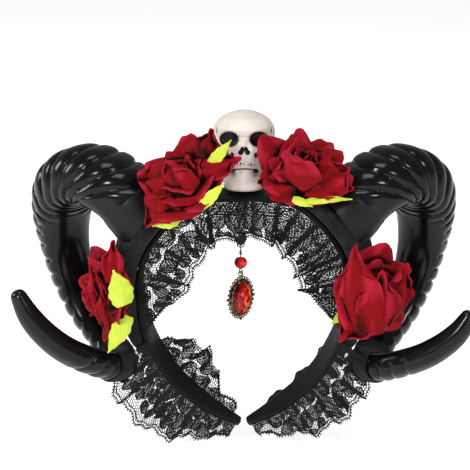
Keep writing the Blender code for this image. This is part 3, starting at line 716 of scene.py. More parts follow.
@dataclass
class Hoop:
    """The hoop's path, which everything else is placed on, and the covered strip and felt pads themselves."""

    half_width: float = 0.062
    drop: float = 0.151
    band_width: float = 0.024
    thickness: float = 0.0036
    end_twist: float = 17.0
    pad_gap: float = 0.0005
    pad_thickness: float = 0.0105
    pad_width: float = 0.027
    band_grid: tuple[int, int] = (40, 260)
    pad_grid: tuple[int, int] = (44, 120)
    path: Sequence[Sequence[float]] = (
        # across, down, twist, width
        (0.000, 0.000, 0.00, 0.90),
        (0.450, 0.020, 0.00, 0.95),
        (0.806, 0.142, 0.00, 1.00),
        (1.000, 0.298, 0.00, 1.00),
        (1.000, 0.469, 0.15, 1.00),
        (0.903, 0.625, 0.60, 0.90),
        (0.694, 0.774, 1.00, 0.76),
        (0.355, 0.902, 1.00, 0.62),
        (0.030, 0.985, 1.00, 0.24),
    )
    pad_path: Sequence[Sequence[float]] = (
        # along, thickness, width
        (0.120, 0.15, 0.85),
        (0.200, 1.05, 1.30),
        (0.262, 1.50, 1.62),
        (0.330, 1.60, 1.30),
        (0.430, 1.30, 1.10),
        (0.540, 1.05, 1.00),
        (0.600, 0.75, 0.95),
        (0.655, 0.10, 0.85),
    )

    def point(self, along: Array) -> Array:
        """The strip's middle at places from -1 over the top at 0 to 1."""
        table = catmull_rom(self.path, np.abs(along))
        side = np.where(along < 0, -1.0, 1.0)
        z = self.thickness / 2 - table[:, 1] * self.drop
        return np.stack([side * table[:, 0] * self.half_width, np.zeros(len(along)), z], axis=1)

    def frame(self, along: Array) -> HoopFrame:
        """The strip's frame at places from -1 to 1."""
        along = np.atleast_1d(np.asarray(along, float))
        step = 0.004
        run = unit(self.point(np.minimum(along + step, 1.0)) - self.point(np.maximum(along - step, -1.0)))
        outward = np.stack([-run[:, 2], np.zeros(len(along)), run[:, 0]], axis=1)
        forward = np.array([0.0, -1.0, 0.0])
        table = catmull_rom(self.path, np.abs(along))
        turn = np.radians(self.end_twist * table[:, 2])[:, None]
        front = forward * np.cos(turn) + outward * np.sin(turn)
        out = outward * np.cos(turn) - forward * np.sin(turn)
        return HoopFrame(self.point(along), out, front, table[:, 3] * self.band_width)

    def pad_row(self, along: Array) -> tuple[Array, Array]:
        """The pad's height over the strip's middle and its width."""
        table = np.asarray(self.pad_path)
        places = np.abs(along)
        thickness = np.interp(places, table[:, 0], table[:, 1]) * self.pad_thickness
        width = np.interp(places, table[:, 0], table[:, 2]) * self.pad_width
        return self.thickness / 2 + self.pad_gap + thickness, width

    def band_shape(self, u: Array, v: Array) -> Array:
        """The covered strip, rolled round its section: u goes round it and v along it."""
        at = self.frame(2 * v - 1)
        turn = math.tau * u
        wide, thick = np.cos(turn), np.sin(turn)
        square, cap = squared(wide, thick, 6), end_caps(v, 0.015)
        half = at.width / 2 * cap
        wrinkle = 1 + 0.06 * np.sin(v * 420) * np.abs(wide) ** 4
        lift = (square * thick * self.thickness / 2 * wrinkle * cap)[:, None]
        return at.middle + at.front * (square * wide * half)[:, None] + at.out * lift

    def pad_shape(self, side: Side) -> Shape:
        """The felt pad on one side, rolled round its section."""
        first, last = self.pad_path[0][0], self.pad_path[-1][0]

        def shape(u: Array, v: Array) -> Array:
            along = side.value * (first + (last - first) * v)
            at = self.frame(along)
            top, width = self.pad_row(along)
            foot = self.thickness / 2 + 0.15 * self.pad_gap
            turn = math.tau * u
            wide, high = np.cos(turn), np.sin(turn)
            square, cap = squared(wide, high, 3.2), end_caps(v, 0.04)
            middle, half = (top + foot) / 2, (top - foot) / 2
            points = at.middle + at.front * (square * wide * width / 2 * cap)[:, None]
            points = points + at.out * (middle + square * high * half * cap)[:, None]
            lump = ripple(points, 9 * MM, 5) * 0.5 * MM * np.clip(high, 0, 1)
            return points + at.out * lump[:, None]

        return shape

    def build(self, cover: Material, felt: Material) -> None:
        """Makes the covered strip and both felt pads."""
        band = Bench.grid("covered_hoop", *self.band_grid, self.band_shape)
        Bench.weld(band)
        dress(band, cover, Body.HEADBAND, ["band"])
        for side in Side:
            pad = Bench.grid(f"felt_cover_{side.word}", *self.pad_grid, self.pad_shape(side))
            Bench.weld(pad)
            dress(pad, felt, Body.HEADBAND, [f"felt_pad_{side.word}"])


def dress(piece: Piece, material: Material, body: Body, stands_for: Sequence[str],
          angle: float = 40.0) -> None:
    """Ends a piece: its material, its shading, the body it rides on and the nodes it stands for.

    Args:
        piece: the piece.
        material: its finish.
        body: the body that carries it.
        stands_for: the nodes that it replaces.
        angle: the angle up to which it is shaded smooth.
    """
    piece.data.materials.clear()
    piece.data.materials.append(material)
    Bench.smooth(piece, angle)
    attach(piece, body.value)
    if stands_for:
        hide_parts(*stands_for)
    LOG.info("%s: %d faces", piece.name, len(piece.data.polygons))


@dataclass
class Horn:
    """A curled horn with crowded ribs, its net-covered root and the felt round its lower curl."""

    hoop: Hoop
    side: Side
    seat_along: float = 0.262
    seat_gap: float = 0.0003
    root_radius: float = 0.022
    reach: float = 0.075
    depth: float = 0.044
    drop: float = 0.100
    flatness: float = 0.70
    squareness: float = 2.5
    ribs: int = 28
    rib_first: float = 0.012
    rib_last: float = 0.80
    rib_depth: float = 0.085
    rib_fan: float = 0.40
    rib_meet: float = 0.27
    right_tip_drop: float = 0.0135
    horn_grid: tuple[int, int] = (90, 540)
    cuff_grid: tuple[int, int] = (64, 48)
    wrap_grid: tuple[int, int] = (56, 60)
    # A sleeve's start and end along the horn, its gap, its wall and its lumps.
    cuff: Sequence[float] = (0.003, 0.044, 0.00015, 0.0005, 0.12 * MM)
    wrap: Sequence[float] = (0.570, 0.700, 0.0002, 0.0017, 0.45 * MM)
    path: Sequence[Sequence[float]] = (
        # out, back, up, radius
        (0.000, 0.00, 0.000, 1.00),
        (0.190, 0.09, 0.160, 1.00),
        (0.425, 0.32, 0.210, 0.98),
        (0.615, 0.61, 0.110, 0.91),
        (0.680, 0.86, -0.085, 0.82),
        (0.670, 1.00, -0.305, 0.70),
        (0.610, 0.98, -0.510, 0.62),
        (0.500, 0.82, -0.695, 0.55),
        (0.345, 0.55, -0.840, 0.49),
        (0.230, 0.20, -0.920, 0.46),
        (0.225, -0.18, -0.900, 0.45),
        (0.345, -0.45, -0.845, 0.43),
        (0.573, -0.68, -0.728, 0.40),
        (0.740, -0.77, -0.610, 0.37),
        (0.865, -0.82, -0.480, 0.32),
        (0.960, -0.84, -0.325, 0.20),
    )
    curl_centre: Triple = (0.45, 0.23, -0.40)

    def centre(self, along: Array) -> tuple[Array, Array]:
        """The horn's centre line and radius at places from 0 at its seat to 1 at its tip."""
        table = catmull_rom(self.path, along)
        seat_place = np.array([self.side.value * self.seat_along])
        at = self.hoop.frame(seat_place)
        top = self.hoop.thickness / 2 + self.hoop.pad_gap + self.hoop.pad_thickness
        seat = at.middle[0] + at.out[0] * (top + self.seat_gap)
        fall = smooth_step(0.62, 1.25, along) / smooth_step(0.62, 1.25, np.array(1.0)) * self.right_tip_drop
        fall = fall if self.side is Side.RIGHT else np.zeros(len(along))
        shift = np.stack([self.side.value * table[:, 0] * self.reach, table[:, 1] * self.depth,
                          table[:, 2] * self.drop - fall], axis=1)
        return seat + shift, table[:, 3] * self.root_radius

    def section(self, along: Array) -> tuple[Array, Array, Array, Array]:
        """The centre, radius, outer and lateral directions at places along the horn."""
        step = 0.004
        middle, radius = self.centre(along)
        run = self.centre(np.minimum(along + step, 1.0))[0] - self.centre(np.maximum(along - step, 0.0))[0]
        seat_way = self.hoop.frame(np.array([self.side.value * self.seat_along])).out[0]
        run = unit(np.where(along[:, None] < step, seat_way, run))
        scale = np.array([self.side.value * self.reach, self.depth, self.drop])
        outer = middle - self.centre(np.zeros(1))[0] - np.array(self.curl_centre) * scale
        outer = unit(outer - run * np.sum(outer * run, axis=1, keepdims=True))
        return middle, radius, outer, np.cross(run, outer)

    def rib_phase(self, along: Array) -> Array:
        """Counts ribs along the horn: whole numbers are grooves."""
        return np.interp(along, (self.rib_first, self.rib_last), (0, self.ribs))

    def surface(self, u: Array, along: Array, grow: Array | float, ribbed: bool = True) -> Array:
        """A point of the horn's skin for each turn u and place along."""
        turn = math.tau * u
        a, b = np.cos(turn), np.sin(turn)
        fanned = 1 - smooth_step(self.rib_meet, self.rib_meet + 0.10, along)
        pull = self.rib_fan * ((1 - a) / 2) ** 1.15 * fanned
        phase = self.rib_phase((along - self.rib_meet * pull) / (1 - pull) + 0.010 * b * smooth_step(0.2, 0.5, along))
        share = phase - np.floor(phase)
        inside = smooth_step(0.0, 0.6, phase) * (1 - smooth_step(self.ribs - 0.6, self.ribs, phase))
        dome = np.abs(2 * share - 1)
        cut = 0.50 * dome**7 + 0.50 * dome**2.4
        middle, radius, outer, lateral = self.section(along)
        falling = (smooth_step(0.26, 0.36, along) * (1 - smooth_step(0.60, 0.68, along)))[:, None]
        below = smooth_step(0.60, 0.70, along)[:, None]
        lean = np.array([1.3 * self.side.value, -0.3, 0.0])
        ridge = unit(outer + falling * lean + below * np.array([0.0, -1.0, -1.25]))
        lie = np.sum((outer * a[:, None] + lateral * b[:, None]) * ridge, axis=1)
        low = -1.5 + 1.50 * smooth_step(0.19, 0.34, along)
        mask = smooth_step(0.0, 0.50, lie - low) * inside
        deep = self.rib_depth * (1.30 + 0.60 * smooth_step(0.20, 0.40, along) - 0.40 * smooth_step(0.60, 0.80, along))
        relief = deep * cut * mask if ribbed else 0.0
        seam = 0.012 * crest(np.abs(turn - math.pi), 0.95, 0.05) if ribbed else 0.0
        reach = squared(a, b, self.squareness) * (radius * (1 - relief + seam) + grow)
        flat = np.where(a < 0, self.flatness, 1.0)
        return middle + outer * (a * reach * flat)[:, None] + lateral * (b * reach)[:, None]

    def horn_shape(self, u: Array, v: Array) -> Array:
        """The horn's skin from its seat to its blunt tip, closed at both ends."""
        root, tip = 0.012, 0.975
        along = np.clip((v - root) / (tip - root), 0.0, 1.0)
        blunt = np.sqrt(np.clip(1 - ((v - tip) / (1 - tip)) ** 2, 0, 1))
        shut = np.where(v < root, v / root, np.where(v > tip, blunt, 1.0))
        along_tip = np.minimum(along * 0.985 + 0.015 * smooth_step(tip, 1.0, v), 1.0)
        skin = self.surface(u, along_tip, 0.0)
        middle = self.centre(along_tip)[0]
        return middle + (skin - middle) * shut[:, None]

    def sleeve_shape(self, start: float, end: float, grow: float, wall: float, lumps: float) -> Shape:
        """A sleeve round a stretch of the horn, as one closed sheet.

        Args:
            start: where it begins along the horn.
            end: where it ends.
            grow: its gap over the horn.
            wall: its thickness.
            lumps: how uneven its outer wall is.

        Returns:
            The shape of its outer wall, its rim and its inner wall.
        """

        def shape(u: Array, v: Array) -> Array:
            inner = v > 0.5
            share = np.where(inner, 2 - 2 * v, 2 * v)
            along = start + (end - start) * share
            plump = np.sqrt(np.clip(np.sin(math.pi * np.clip(share, 0.0, 1.0)), 0.0, 1.0))
            cover = grow + wall * (0.15 + 0.85 * plump)
            skin = self.surface(u, along, np.where(inner, grow, cover), ribbed=False)
            middle = self.centre(along)[0]
            lump = np.where(inner, 0.0, ripple(skin, 7 * MM, 3) * lumps)
            return skin + unit(skin - middle) * lump[:, None]

        return shape

    def build(self, moulding: Material, net: Material, felt: Material) -> None:
        """Makes the horn, its root cover and its lower wrap."""
        word = self.side.word
        horn = Bench.grid(f"ribbed_horn_{word}", *self.horn_grid, self.horn_shape)
        Bench.weld(horn)
        dress(horn, moulding, Body.HEADBAND, [f"horn_{word}"], 60.0)
        cuff = Bench.grid(f"net_cuff_{word}", *self.cuff_grid, self.sleeve_shape(*self.cuff))
        self.close_sleeve(cuff)
        dress(cuff, net, Body.HEADBAND, [f"horn_cuff_{word}"], 60.0)
        wrap = Bench.grid(f"felt_wrap_{word}", *self.wrap_grid, self.sleeve_shape(*self.wrap))
        self.close_sleeve(wrap)
        dress(wrap, felt, Body.HEADBAND, [f"horn_wrap_{word}"], 60.0)

    @staticmethod
    def close_sleeve(piece: Piece) -> None:
        """Merges the rolled grid's seam and its two rims."""
        Bench.weld(piece)
        with Bench.editing(piece):
            bpy.ops.mesh.select_all(action="DESELECT")
            bpy.ops.mesh.select_mode(type="EDGE")
            bpy.ops.mesh.select_non_manifold()
            bpy.ops.mesh.bridge_edge_loops()
            bpy.ops.mesh.select_all(action="SELECT")
            bpy.ops.mesh.normals_make_consistent(inside=False)
            bpy.ops.mesh.select_mode(type="VERT")


@dataclass
class Skull:
    """The small cast skull on the hoop's top."""

    width: float = 0.037
    depth: float = 0.042
    height: float = 0.0462
    tilt: float = 9.0
    back: float = 0.004
    gap: float = 0.0003
    hoop_thickness: float = 0.0036
    socket_at: tuple[float, float] = (8.9, 30.8)
    socket_half: tuple[float, float] = (6.1, 4.9)
    socket_turn: float = -8.0
    lip: float = 13.9
    tooth: float = 2.15
    face_grid: tuple[int, int] = (190, 170)
    bumps: Sequence[Sequence[object]] = (
        # name, place aside and up, spread aside and up, rise, all in millimetres
        ("brow", (8.5, 37.0), (6.5, 2.0), 1.2),
        ("forehead", (0.0, 36.0), (3.5, 2.4), 0.84),
        ("bridge", (0.0, 29.0), (1.7, 3.6), 1.5),
        ("cheek", (12.3, 22.6), (3.4, 2.6), 1.6),
        ("hollow cheek", (12.2, 14.4), (3.6, 4.2), -1.9),
        ("jaw", (9.0, 4.5), (4.5, 3.0), 0.8),
        ("chin", (0.0, 3.6), (4.5, 2.6), 0.48),
        ("muzzle", (0.0, 13.0), (7.0, 6.5), 1.1),
        ("temple", (17.5, 33.0), (3.4, 5.0), -1.2),
    )
    sections: Sequence[Sequence[float]] = (
        # height, half_width, front, back
        (0.00, 0.31, 0.40, 0.08),
        (0.08, 0.35, 0.45, 0.12),
        (0.20, 0.33, 0.46, 0.16),
        (0.31, 0.33, 0.45, 0.24),
        (0.40, 0.42, 0.43, 0.36),
        (0.50, 0.475, 0.41, 0.45),
        (0.62, 0.490, 0.40, 0.50),
        (0.72, 0.505, 0.42, 0.52),
        (0.82, 0.480, 0.41, 0.49),
        (0.91, 0.400, 0.34, 0.42),
        (0.975, 0.270, 0.22, 0.29),
        (1.012, 0.130, 0.10, 0.14),
        (1.025, 0.00, 0.00, 0.00),
    )

    @staticmethod
    def hollow(x: Array, z: Array, at: tuple[float, float], half: tuple[float, float], turn: float = 0.0) -> Array:
        """How deep in an oval hollow each place lies, from 0 outside it to 1, on both sides of the face."""
        cos, sin = math.cos(math.radians(turn)), math.sin(math.radians(turn))
        dx, dz = np.abs(x) - at[0], z - at[1]
        across, up = dx * cos + dz * sin, dz * cos - dx * sin
        return 1 - smooth_step(0.62, 1.10, np.hypot(across / half[0], up / half[1]))

    def relief(self, x: Array, z: Array) -> tuple[Array, Array]:
        """The face's relief and stain.

        Args:
            x: place across, in millimetres from the middle.
            z: height over the base, in millimetres.

        Returns:
            How far each point lies behind the plain form, in millimetres, and its stain from 0 to 1.
        """
        side = np.abs(x)
        sockets = self.hollow(x, z, self.socket_at, self.socket_half, self.socket_turn)
        nostrils = self.hollow(x, z, (1.3, 24.4), (1.3, 2.5), 14.0)
        nostrils = np.maximum(nostrils, self.hollow(x, z, (2.1, 23.2), (1.6, 1.5)))
        cheek_holes = self.hollow(x, z, (7.2, 21.6), (1.2, 1.7))
        corners = self.hollow(x, z, (6.9, 12.3), (1.9, 1.2), -25.0)
        lip = self.lip - 0.020 * side**2
        mouth = crest(z, lip, 0.42) * (1 - smooth_step(6.0, 7.6, side))
        biting = 1 - smooth_step(6.0, 7.4, side)
        rows = (crest(z, lip + 1.9, 1.5) + crest(z, lip - 2.0, 1.6)) * biting
        ragged = x + 0.35 * np.sin(1.9 * x + 0.6)
        gaps = 0.6 * rows * dots(ragged, self.tooth, 6)
        roots = crest(z, lip + 2.9 + 0.35 * np.sin(2.3 * x), 0.60) * biting * dots(ragged, self.tooth, 2)
        depth = 5.6 * sockets + 3.4 * nostrils + 1.6 * cheek_holes + 2.0 * corners + 0.9 * mouth + 0.45 * gaps
        depth = depth + 0.35 * roots - 0.30 * rows
        for _, at, spread, rise in self.bumps:
            depth = depth - rise * bell(side, z, at, spread)
        seams = crest(z, 33.2, 0.42) * (1 - smooth_step(3.0, 4.2, side)) * dots(x, 1.4, 2)
        creases = bell(side, z, (16.2, 35.5), (0.35, 2.6))
        shaded = (self.socket_half[0] * 1.22, self.socket_half[1] * 1.30)
        pits = 0.36 * self.hollow(x, z, self.socket_at, shaded, self.socket_turn)
        grime = 0.46 * bell(side, z, (6.6, 10.8), (3.0, 3.4)) + 0.34 * bell(side, z, (6.5, 20.0), (2.6, 3.0))
        stain = np.maximum.reduce([pits, grime, 1.6 * sockets, 1.6 * nostrils, 1.4 * cheek_holes, 1.3 * corners,
                                   0.9 * mouth, 0.62 * gaps, 0.95 * roots, 0.95 * seams, 0.75 * creases])
        return depth, np.clip(stain, 0.0, 1.0)

    def local(self, u: Array, v: Array) -> Array:
        """Points in the skull's own frame."""
        cap = 0.03
        turn = math.tau * u - 0.62 * np.sin(math.tau * u)
        rise = np.clip((v - cap) / (1 - cap), 0.0, 1.0)
        table = catmull_rom(self.sections, rise)
        across, along = np.sin(turn), -np.cos(turn)
        depth = np.where(along < 0, table[:, 2], table[:, 3])
        x, z = across * table[:, 1] * self.width, table[:, 0] * self.height
        y = along * depth * self.depth
        front = smooth_step(0.05, 0.55, -along) * smooth_step(0.0, 0.04, rise)
        points = np.stack([x, y + self.relief(x / MM, z / MM)[0] * MM * front, z], axis=1)
        base = np.array([0.0, -0.16 * self.depth, 0.0])
        shut = np.where(v < cap, v / cap, 1.0)[:, None]
        return base * (1 - shut) + points * shut

    def placed(self, points: Array) -> Array:
        """Stands the skull on the hoop, leaning back."""
        lift = self.sections[0][3] * self.depth * math.sin(math.radians(self.tilt))
        return spun(points, -self.tilt, "X") + np.array([0.0, self.back, self.hoop_thickness + self.gap + lift])

    def build(self, resin: Material) -> None:
        """Makes the skull with its stain."""
        skull = Bench.grid("cast_skull", *self.face_grid, lambda u, v: self.placed(self.local(u, v)))
        Bench.weld(skull)
        points = spun(Bench.points(skull) - self.placed(np.zeros((1, 3)))[0], self.tilt, "X")
        _, stain = self.relief(points[:, 0] / MM, points[:, 2] / MM)
        facing = smooth_step(-0.004, 0.004, -points[:, 1])
        base = 0.35 * (1 - smooth_step(0.0, 0.004, points[:, 2]))
        Bench.attribute(skull, "wash", np.maximum(stain * facing, base))
        dress(skull, resin, Body.HEADBAND, ["skull"], 60.0)


@dataclass(frozen=True)
class Petal:
    """One petal: where it starts, its length and width, and how it leans out at its foot, middle and rim."""

    turn: float
    foot: float
    length: float
    width: float
    lean: Triple
    wrap: float
    roll: float
    point: float
    nap: float
    seed: int
    keel: float = 1.3 * MM

    def shape(self, u: Array, v: Array) -> Array:
        """The petal in the rose's own frame: u runs across it and v from its foot to its rim."""
        across = 2 * u - 1
        steps, lines = 40, 32
        places = (np.arange(steps) + 0.5) / steps
        low, middle, high = (math.radians(lean) for lean in self.lean)
        lean = np.where(places < 0.55, low + (middle - low) * smooth_step(0.0, 0.55, places),
                        middle + (high - middle) * smooth_step(0.55, 1.0, places))
        edge = np.linspace(0, 1, lines + 1)
        rolled = lean[None] + self.roll * edge[:, None] ** 2.2 * smooth_step(0.30, 1.0, places)[None]
        reach, rise = (np.concatenate([np.zeros((lines + 1, 1)), np.cumsum(part(rolled), axis=1)], axis=1) / steps
                       for part in (np.sin, np.cos))
        row, column = np.abs(across) * lines, v * steps
        r0, c0 = np.minimum(row.astype(int), lines - 1), np.minimum(column.astype(int), steps - 1)
        fr, fc = row - r0, column - c0

        def read(table: Array) -> Array:
            near = table[r0, c0] * (1 - fc) + table[r0, c0 + 1] * fc
            far = table[r0 + 1, c0] * (1 - fc) + table[r0 + 1, c0 + 1] * fc
            return near * (1 - fr) + far * fr

        length = self.length * (1 - self.point * np.abs(across) ** 1.3)
        out, up = self.foot + read(reach) * length, read(rise) * length
        half = self.width / 2 * (0.30 + 0.70 * np.sin(math.pi * (0.10 + 0.62 * v)) ** 1.1)
        bent = across * half / self.wrap
        x = out - self.wrap * (1 - np.cos(bent))
        y = self.wrap * np.sin(bent)
        spots = on_cloth(across * self.width, v * self.length)
        fold = ripple(spots, 15 * MM, self.seed) * 2.3 * MM * v + ripple(spots, 6 * MM, self.seed + 1) * 0.5 * MM
        fold = fold + np.sin(math.tau * (1.1 * across + 0.4 * v) + self.seed) * 0.7 * MM * v
        fold = fold - self.keel * np.clip(1 - np.abs(across) / 0.35, 0, 1) * v**2
        x, z = x + fold * 0.6, up + fold * 0.5
        return spun(np.stack([x, y, z], axis=1), self.turn, "Z")


@dataclass
class Rose:
    """A velvet rose, set on the hoop and facing a given way."""

    hoop: Hoop
    name: str
    along: float
    out: float
    front: float
    facing: Triple
    size: float
    turn: float
    short_side: Triple
    loose: Sequence[Sequence[object]]
    seed: int
    radius: float = 0.0335
    height: float = 0.027
    cloth: float = 0.0006
    columns: int = 18
    # The painted shade between the petals: how many rays feel for it, how far they reach and how dark it gets.
    rays: int = 16
    valley: float = 0.014
    shade_strength: float = 1.12
    rings: Sequence[Sequence[float]] = (
        # petals, step, foot, length, width, lean at foot, middle and rim, wrap, roll, point
        (5, 68.0, 0.004, 0.0345, 0.042, 80.0, 50.0, 102.0, 0.028, 1.20, 0.36),
        (4, 90.0, 0.003, 0.0310, 0.038, 62.0, 26.0, 88.0, 0.020, 1.25, 0.34),
        (3, 120.0, 0.003, 0.0285, 0.035, 42.0, 8.0, 68.0, 0.0150, 1.10, 0.32),
        (3, 120.0, 0.003, 0.0255, 0.026, 20.0, -4.0, 44.0, 0.0085, 0.80, 0.30),
        (2, 180.0, 0.002, 0.0240, 0.017, 4.0, -4.0, 18.0, 0.0048, 0.40, 0.30),
    )

    def matrix(self) -> Array:
        """The rose's own frame, whose Z is the way that the flower faces."""
        at = self.hoop.frame(np.array([self.along]))
        place = Vector(at.middle[0] + at.out[0] * self.out + at.front[0] * self.front)
        axis = Vector(self.facing).normalized()
        right = (Vector((1, 0, 0)) - axis * axis.x).normalized()
        turned = Matrix((right, axis.cross(right), axis)).transposed().to_4x4()
        spin = Matrix.Rotation(math.radians(self.turn), 4, "Z")
        return np.array(Matrix.Translation(place) @ turned @ spin @ Matrix.Scale(self.size, 4))

    def middle(self) -> Array:
        """The middle of the rose's cup."""
        return (self.matrix() @ np.array([0, 0, 0.4 * self.height, 1.0]))[:3]

    def petals(self) -> list[Petal]:
        """Draws the petals ring by ring, each a little different."""
        draw = np.random.default_rng(self.seed)
        made = []
        for ring, (count, step, foot, length, width, low, middle, high, wrap, roll, point) in enumerate(self.rings):
            for k in range(int(count)):
                turn = step * k + 47.0 * ring + draw.uniform(-9, 9)
                lean = tuple(value + draw.uniform(-7, 7) for value in (low, middle, high))
                # Each petal's own tone: drawn at random, and a little darker for each inner ring as painted shade.
                nap = float(np.clip(0.78 - 0.03 * ring + draw.uniform(-0.24, 0.30), 0.1, 1.1))
                spread = math.radians(turn)
                way = self.matrix()[:3, :3] @ np.array([math.cos(spread), math.sin(spread), 0.0])
                held = 1 - 0.30 * max(float(way @ np.array(self.short_side)), 0.0) * (ring < 3)
                made.append(Petal(turn, foot, length * held * draw.uniform(0.92, 1.06),
                                  width * draw.uniform(0.90, 1.08), lean, wrap, roll * draw.uniform(0.6, 1.3),
                                  point * draw.uniform(0.7, 1.5), nap, int(draw.integers(1, 9999))))
        return made

    def build(self, velvet: Material) -> None:
        """Makes the petals and their round heart as one piece."""
        matrix, petals, pieces = self.matrix(), self.petals(), []

        def add(name: str, rows: int, shape: Shape, nap: float, seed: int) -> None:
            piece = Bench.grid(f"{self.name}_{name}", self.columns, rows, shape)
            v, u = np.meshgrid(np.linspace(0, 1, rows + 1), np.linspace(0, 1, self.columns + 1), indexing="ij")
            Bench.attribute(piece, "nap", self.shade(u.ravel(), v.ravel(), nap, seed))
            Bench.wall(piece, self.cloth)
            pieces.append(piece)

        for number, petal in enumerate(petals):
            add(f"petal_{number}", 18, lambda u, v: self.world(petal.shape(u, v), matrix), petal.nap, petal.seed)
        for number, row in enumerate(self.loose):
            add(f"loose_{number}", 22, lambda u, v: self.loose_shape(row, number, u, v), row[4], self.seed + number)
        heart = Bench.grid(f"{self.name}_heart", 20, 16, lambda u, v: self.world(self.heart(u, v), matrix))
        Bench.weld(heart)
        Bench.attribute(heart, "nap", np.full(len(heart.data.vertices), 0.15))
        pieces.append(heart)
        rose = Bench.join(f"velvet_{self.name}", pieces)
        self.shade_hollows(rose)
        dress(rose, velvet, Body.HEADBAND, [self.name], 50.0)
        area = sum(petal.length * petal.width for petal in petals) * self.size**2
        area += sum(math.dist(row[0], row[1]) * row[3] for row in self.loose)

    def shade_hollows(self, rose: Piece) -> None:
        """Paints shade into the colour deep between the petals, where the flower shuts out the light."""
        points = Bench.points(rose)
        facing = np.empty(points.size)
        rose.data.vertices.foreach_get("normal", facing)
        facing = facing.reshape(-1, 3)
        tree = BVHTree.FromPolygons(points.tolist(), [tuple(face.vertices) for face in rose.data.polygons])
        draw = np.random.default_rng(self.seed)
        shut = np.zeros(len(points))
        for _ in range(self.rays):
            ways = unit(facing * 1.05 + unit(draw.normal(size=points.shape)))
            starts = points + facing * self.cloth * 0.7 + ways * 0.0003
            rays = zip(starts.tolist(), ways.tolist())
            hits = [tree.ray_cast(Vector(start), Vector(way), self.valley)[3] for start, way in rays]
            shut += [0.0 if hit is None else 1 - hit / self.valley for hit in hits]
        layer = rose.data.attributes["nap"]
        nap = np.empty(len(points), np.float32)
        layer.data.foreach_get("value", nap)
        # Painted shade: the larger the share of rays that other petals stop, the darker the colour.
        nap = nap + 0.12 - self.shade_strength * smooth_step(0.08, 0.62, shut / self.rays)
        layer.data.foreach_set("value", nap.astype(np.float32))

    def shade(self, u: Array, v: Array, nap: float, seed: int) -> Array:
        """Paints light and shade on a petal's own tone: painted shade at the foot and in the pleats, a painted
        highlight along the rim.

        Args:
            u: places across the petal.
            v: places from its foot to its rim.
            nap: the petal's own tone.
            seed: which of the patterns to read.

        Returns:
            A tone for each place.
        """
        across = 2 * u - 1
        side = np.abs(across)
        # Painted shade in the pleats' valleys and painted highlight on their crests, partly following the petal's own
        # folds.
        fold_shade = 0.30 * ripple(on_cloth(across * 12 * MM, v * 24 * MM), 9 * MM, seed)
        fold_shade = fold_shade + 0.16 * np.sin(math.tau * (1.1 * across + 0.4 * v) + seed)
        # Painted highlight along the rim; painted shade towards the foot and down the middle crease.
        rim = 0.26 * smooth_step(0.88, 1.0, np.maximum(side, v))
        return nap - 0.62 * (1 - v) ** 1.1 + fold_shade + rim - 0.20 * np.clip(1 - side / 0.25, 0, 1)

    @staticmethod
    def world(points: Array, matrix: Array) -> Array:
        """Takes points from the rose's own frame to the headband's."""
        return points @ matrix[:3, :3].T + matrix[:3, 3]

    def loose_shape(self, row: Sequence[object], number: int, u: Array, v: Array) -> Array:
        """One of the big petals that stand out of the rose, from its foot to its pointed, curling tip.

        Args:
            row: its foot, tip, facing, width and nap.
            number: which of them it is.
            u: places across it.
            v: places from its foot to its tip.

        Returns:
            The sheet's points.
        """
        foot, tip, facing, width = np.array(row[0]), np.array(row[1]), np.array(row[2]), row[3]
        run = tip - foot
        across = unit(np.cross(run, facing))
        up = unit(np.cross(across, run))
        side = 2 * u - 1
        half = width / 2 * (0.45 + 0.75 * np.sin(math.pi * (0.12 + 0.72 * v)))
        half = half * (1 - 0.45 * smooth_step(0.75, 1.0, v))
        reach = v * (1 - 0.30 * np.abs(side) ** 1.4 * v)
        cup = -0.36 * width * np.abs(side) ** 1.6 * (1 - 0.5 * v) + 0.14 * width * np.sin(math.pi * v)
        curl = 0.22 * width * smooth_step(0.55, 1.0, np.abs(side)) * v + 0.16 * width * smooth_step(0.8, 1.0, v)
        spots = on_cloth(side * width, v * np.linalg.norm(run))
        wave = ripple(spots, 11 * MM, self.seed + 7 * number) * 1.6 * MM * (0.3 + 0.7 * v)
        pleat = np.sin(math.tau * (1.1 * side + 0.4 * v) + self.seed + number) * 1.3 * MM * (0.3 + 0.7 * v)
        keel = 1.6 * MM * np.clip(1 - np.abs(side) / 0.3, 0, 1) * v
        lift = cup + curl + wave + pleat - keel
        return foot + run * reach[:, None] + across * (side * half)[:, None] + up * lift[:, None]

    def heart(self, u: Array, v: Array) -> Array:
        """The dark bud under the petals that they are glued to."""
        turn = math.tau * u
        radius = self.radius * 0.26 * np.sin(math.pi * np.clip(v, 0, 1)) ** 0.6
        return np.stack([radius * np.cos(turn), radius * np.sin(turn), (v * 0.72 - 0.04) * self.height], axis=1)


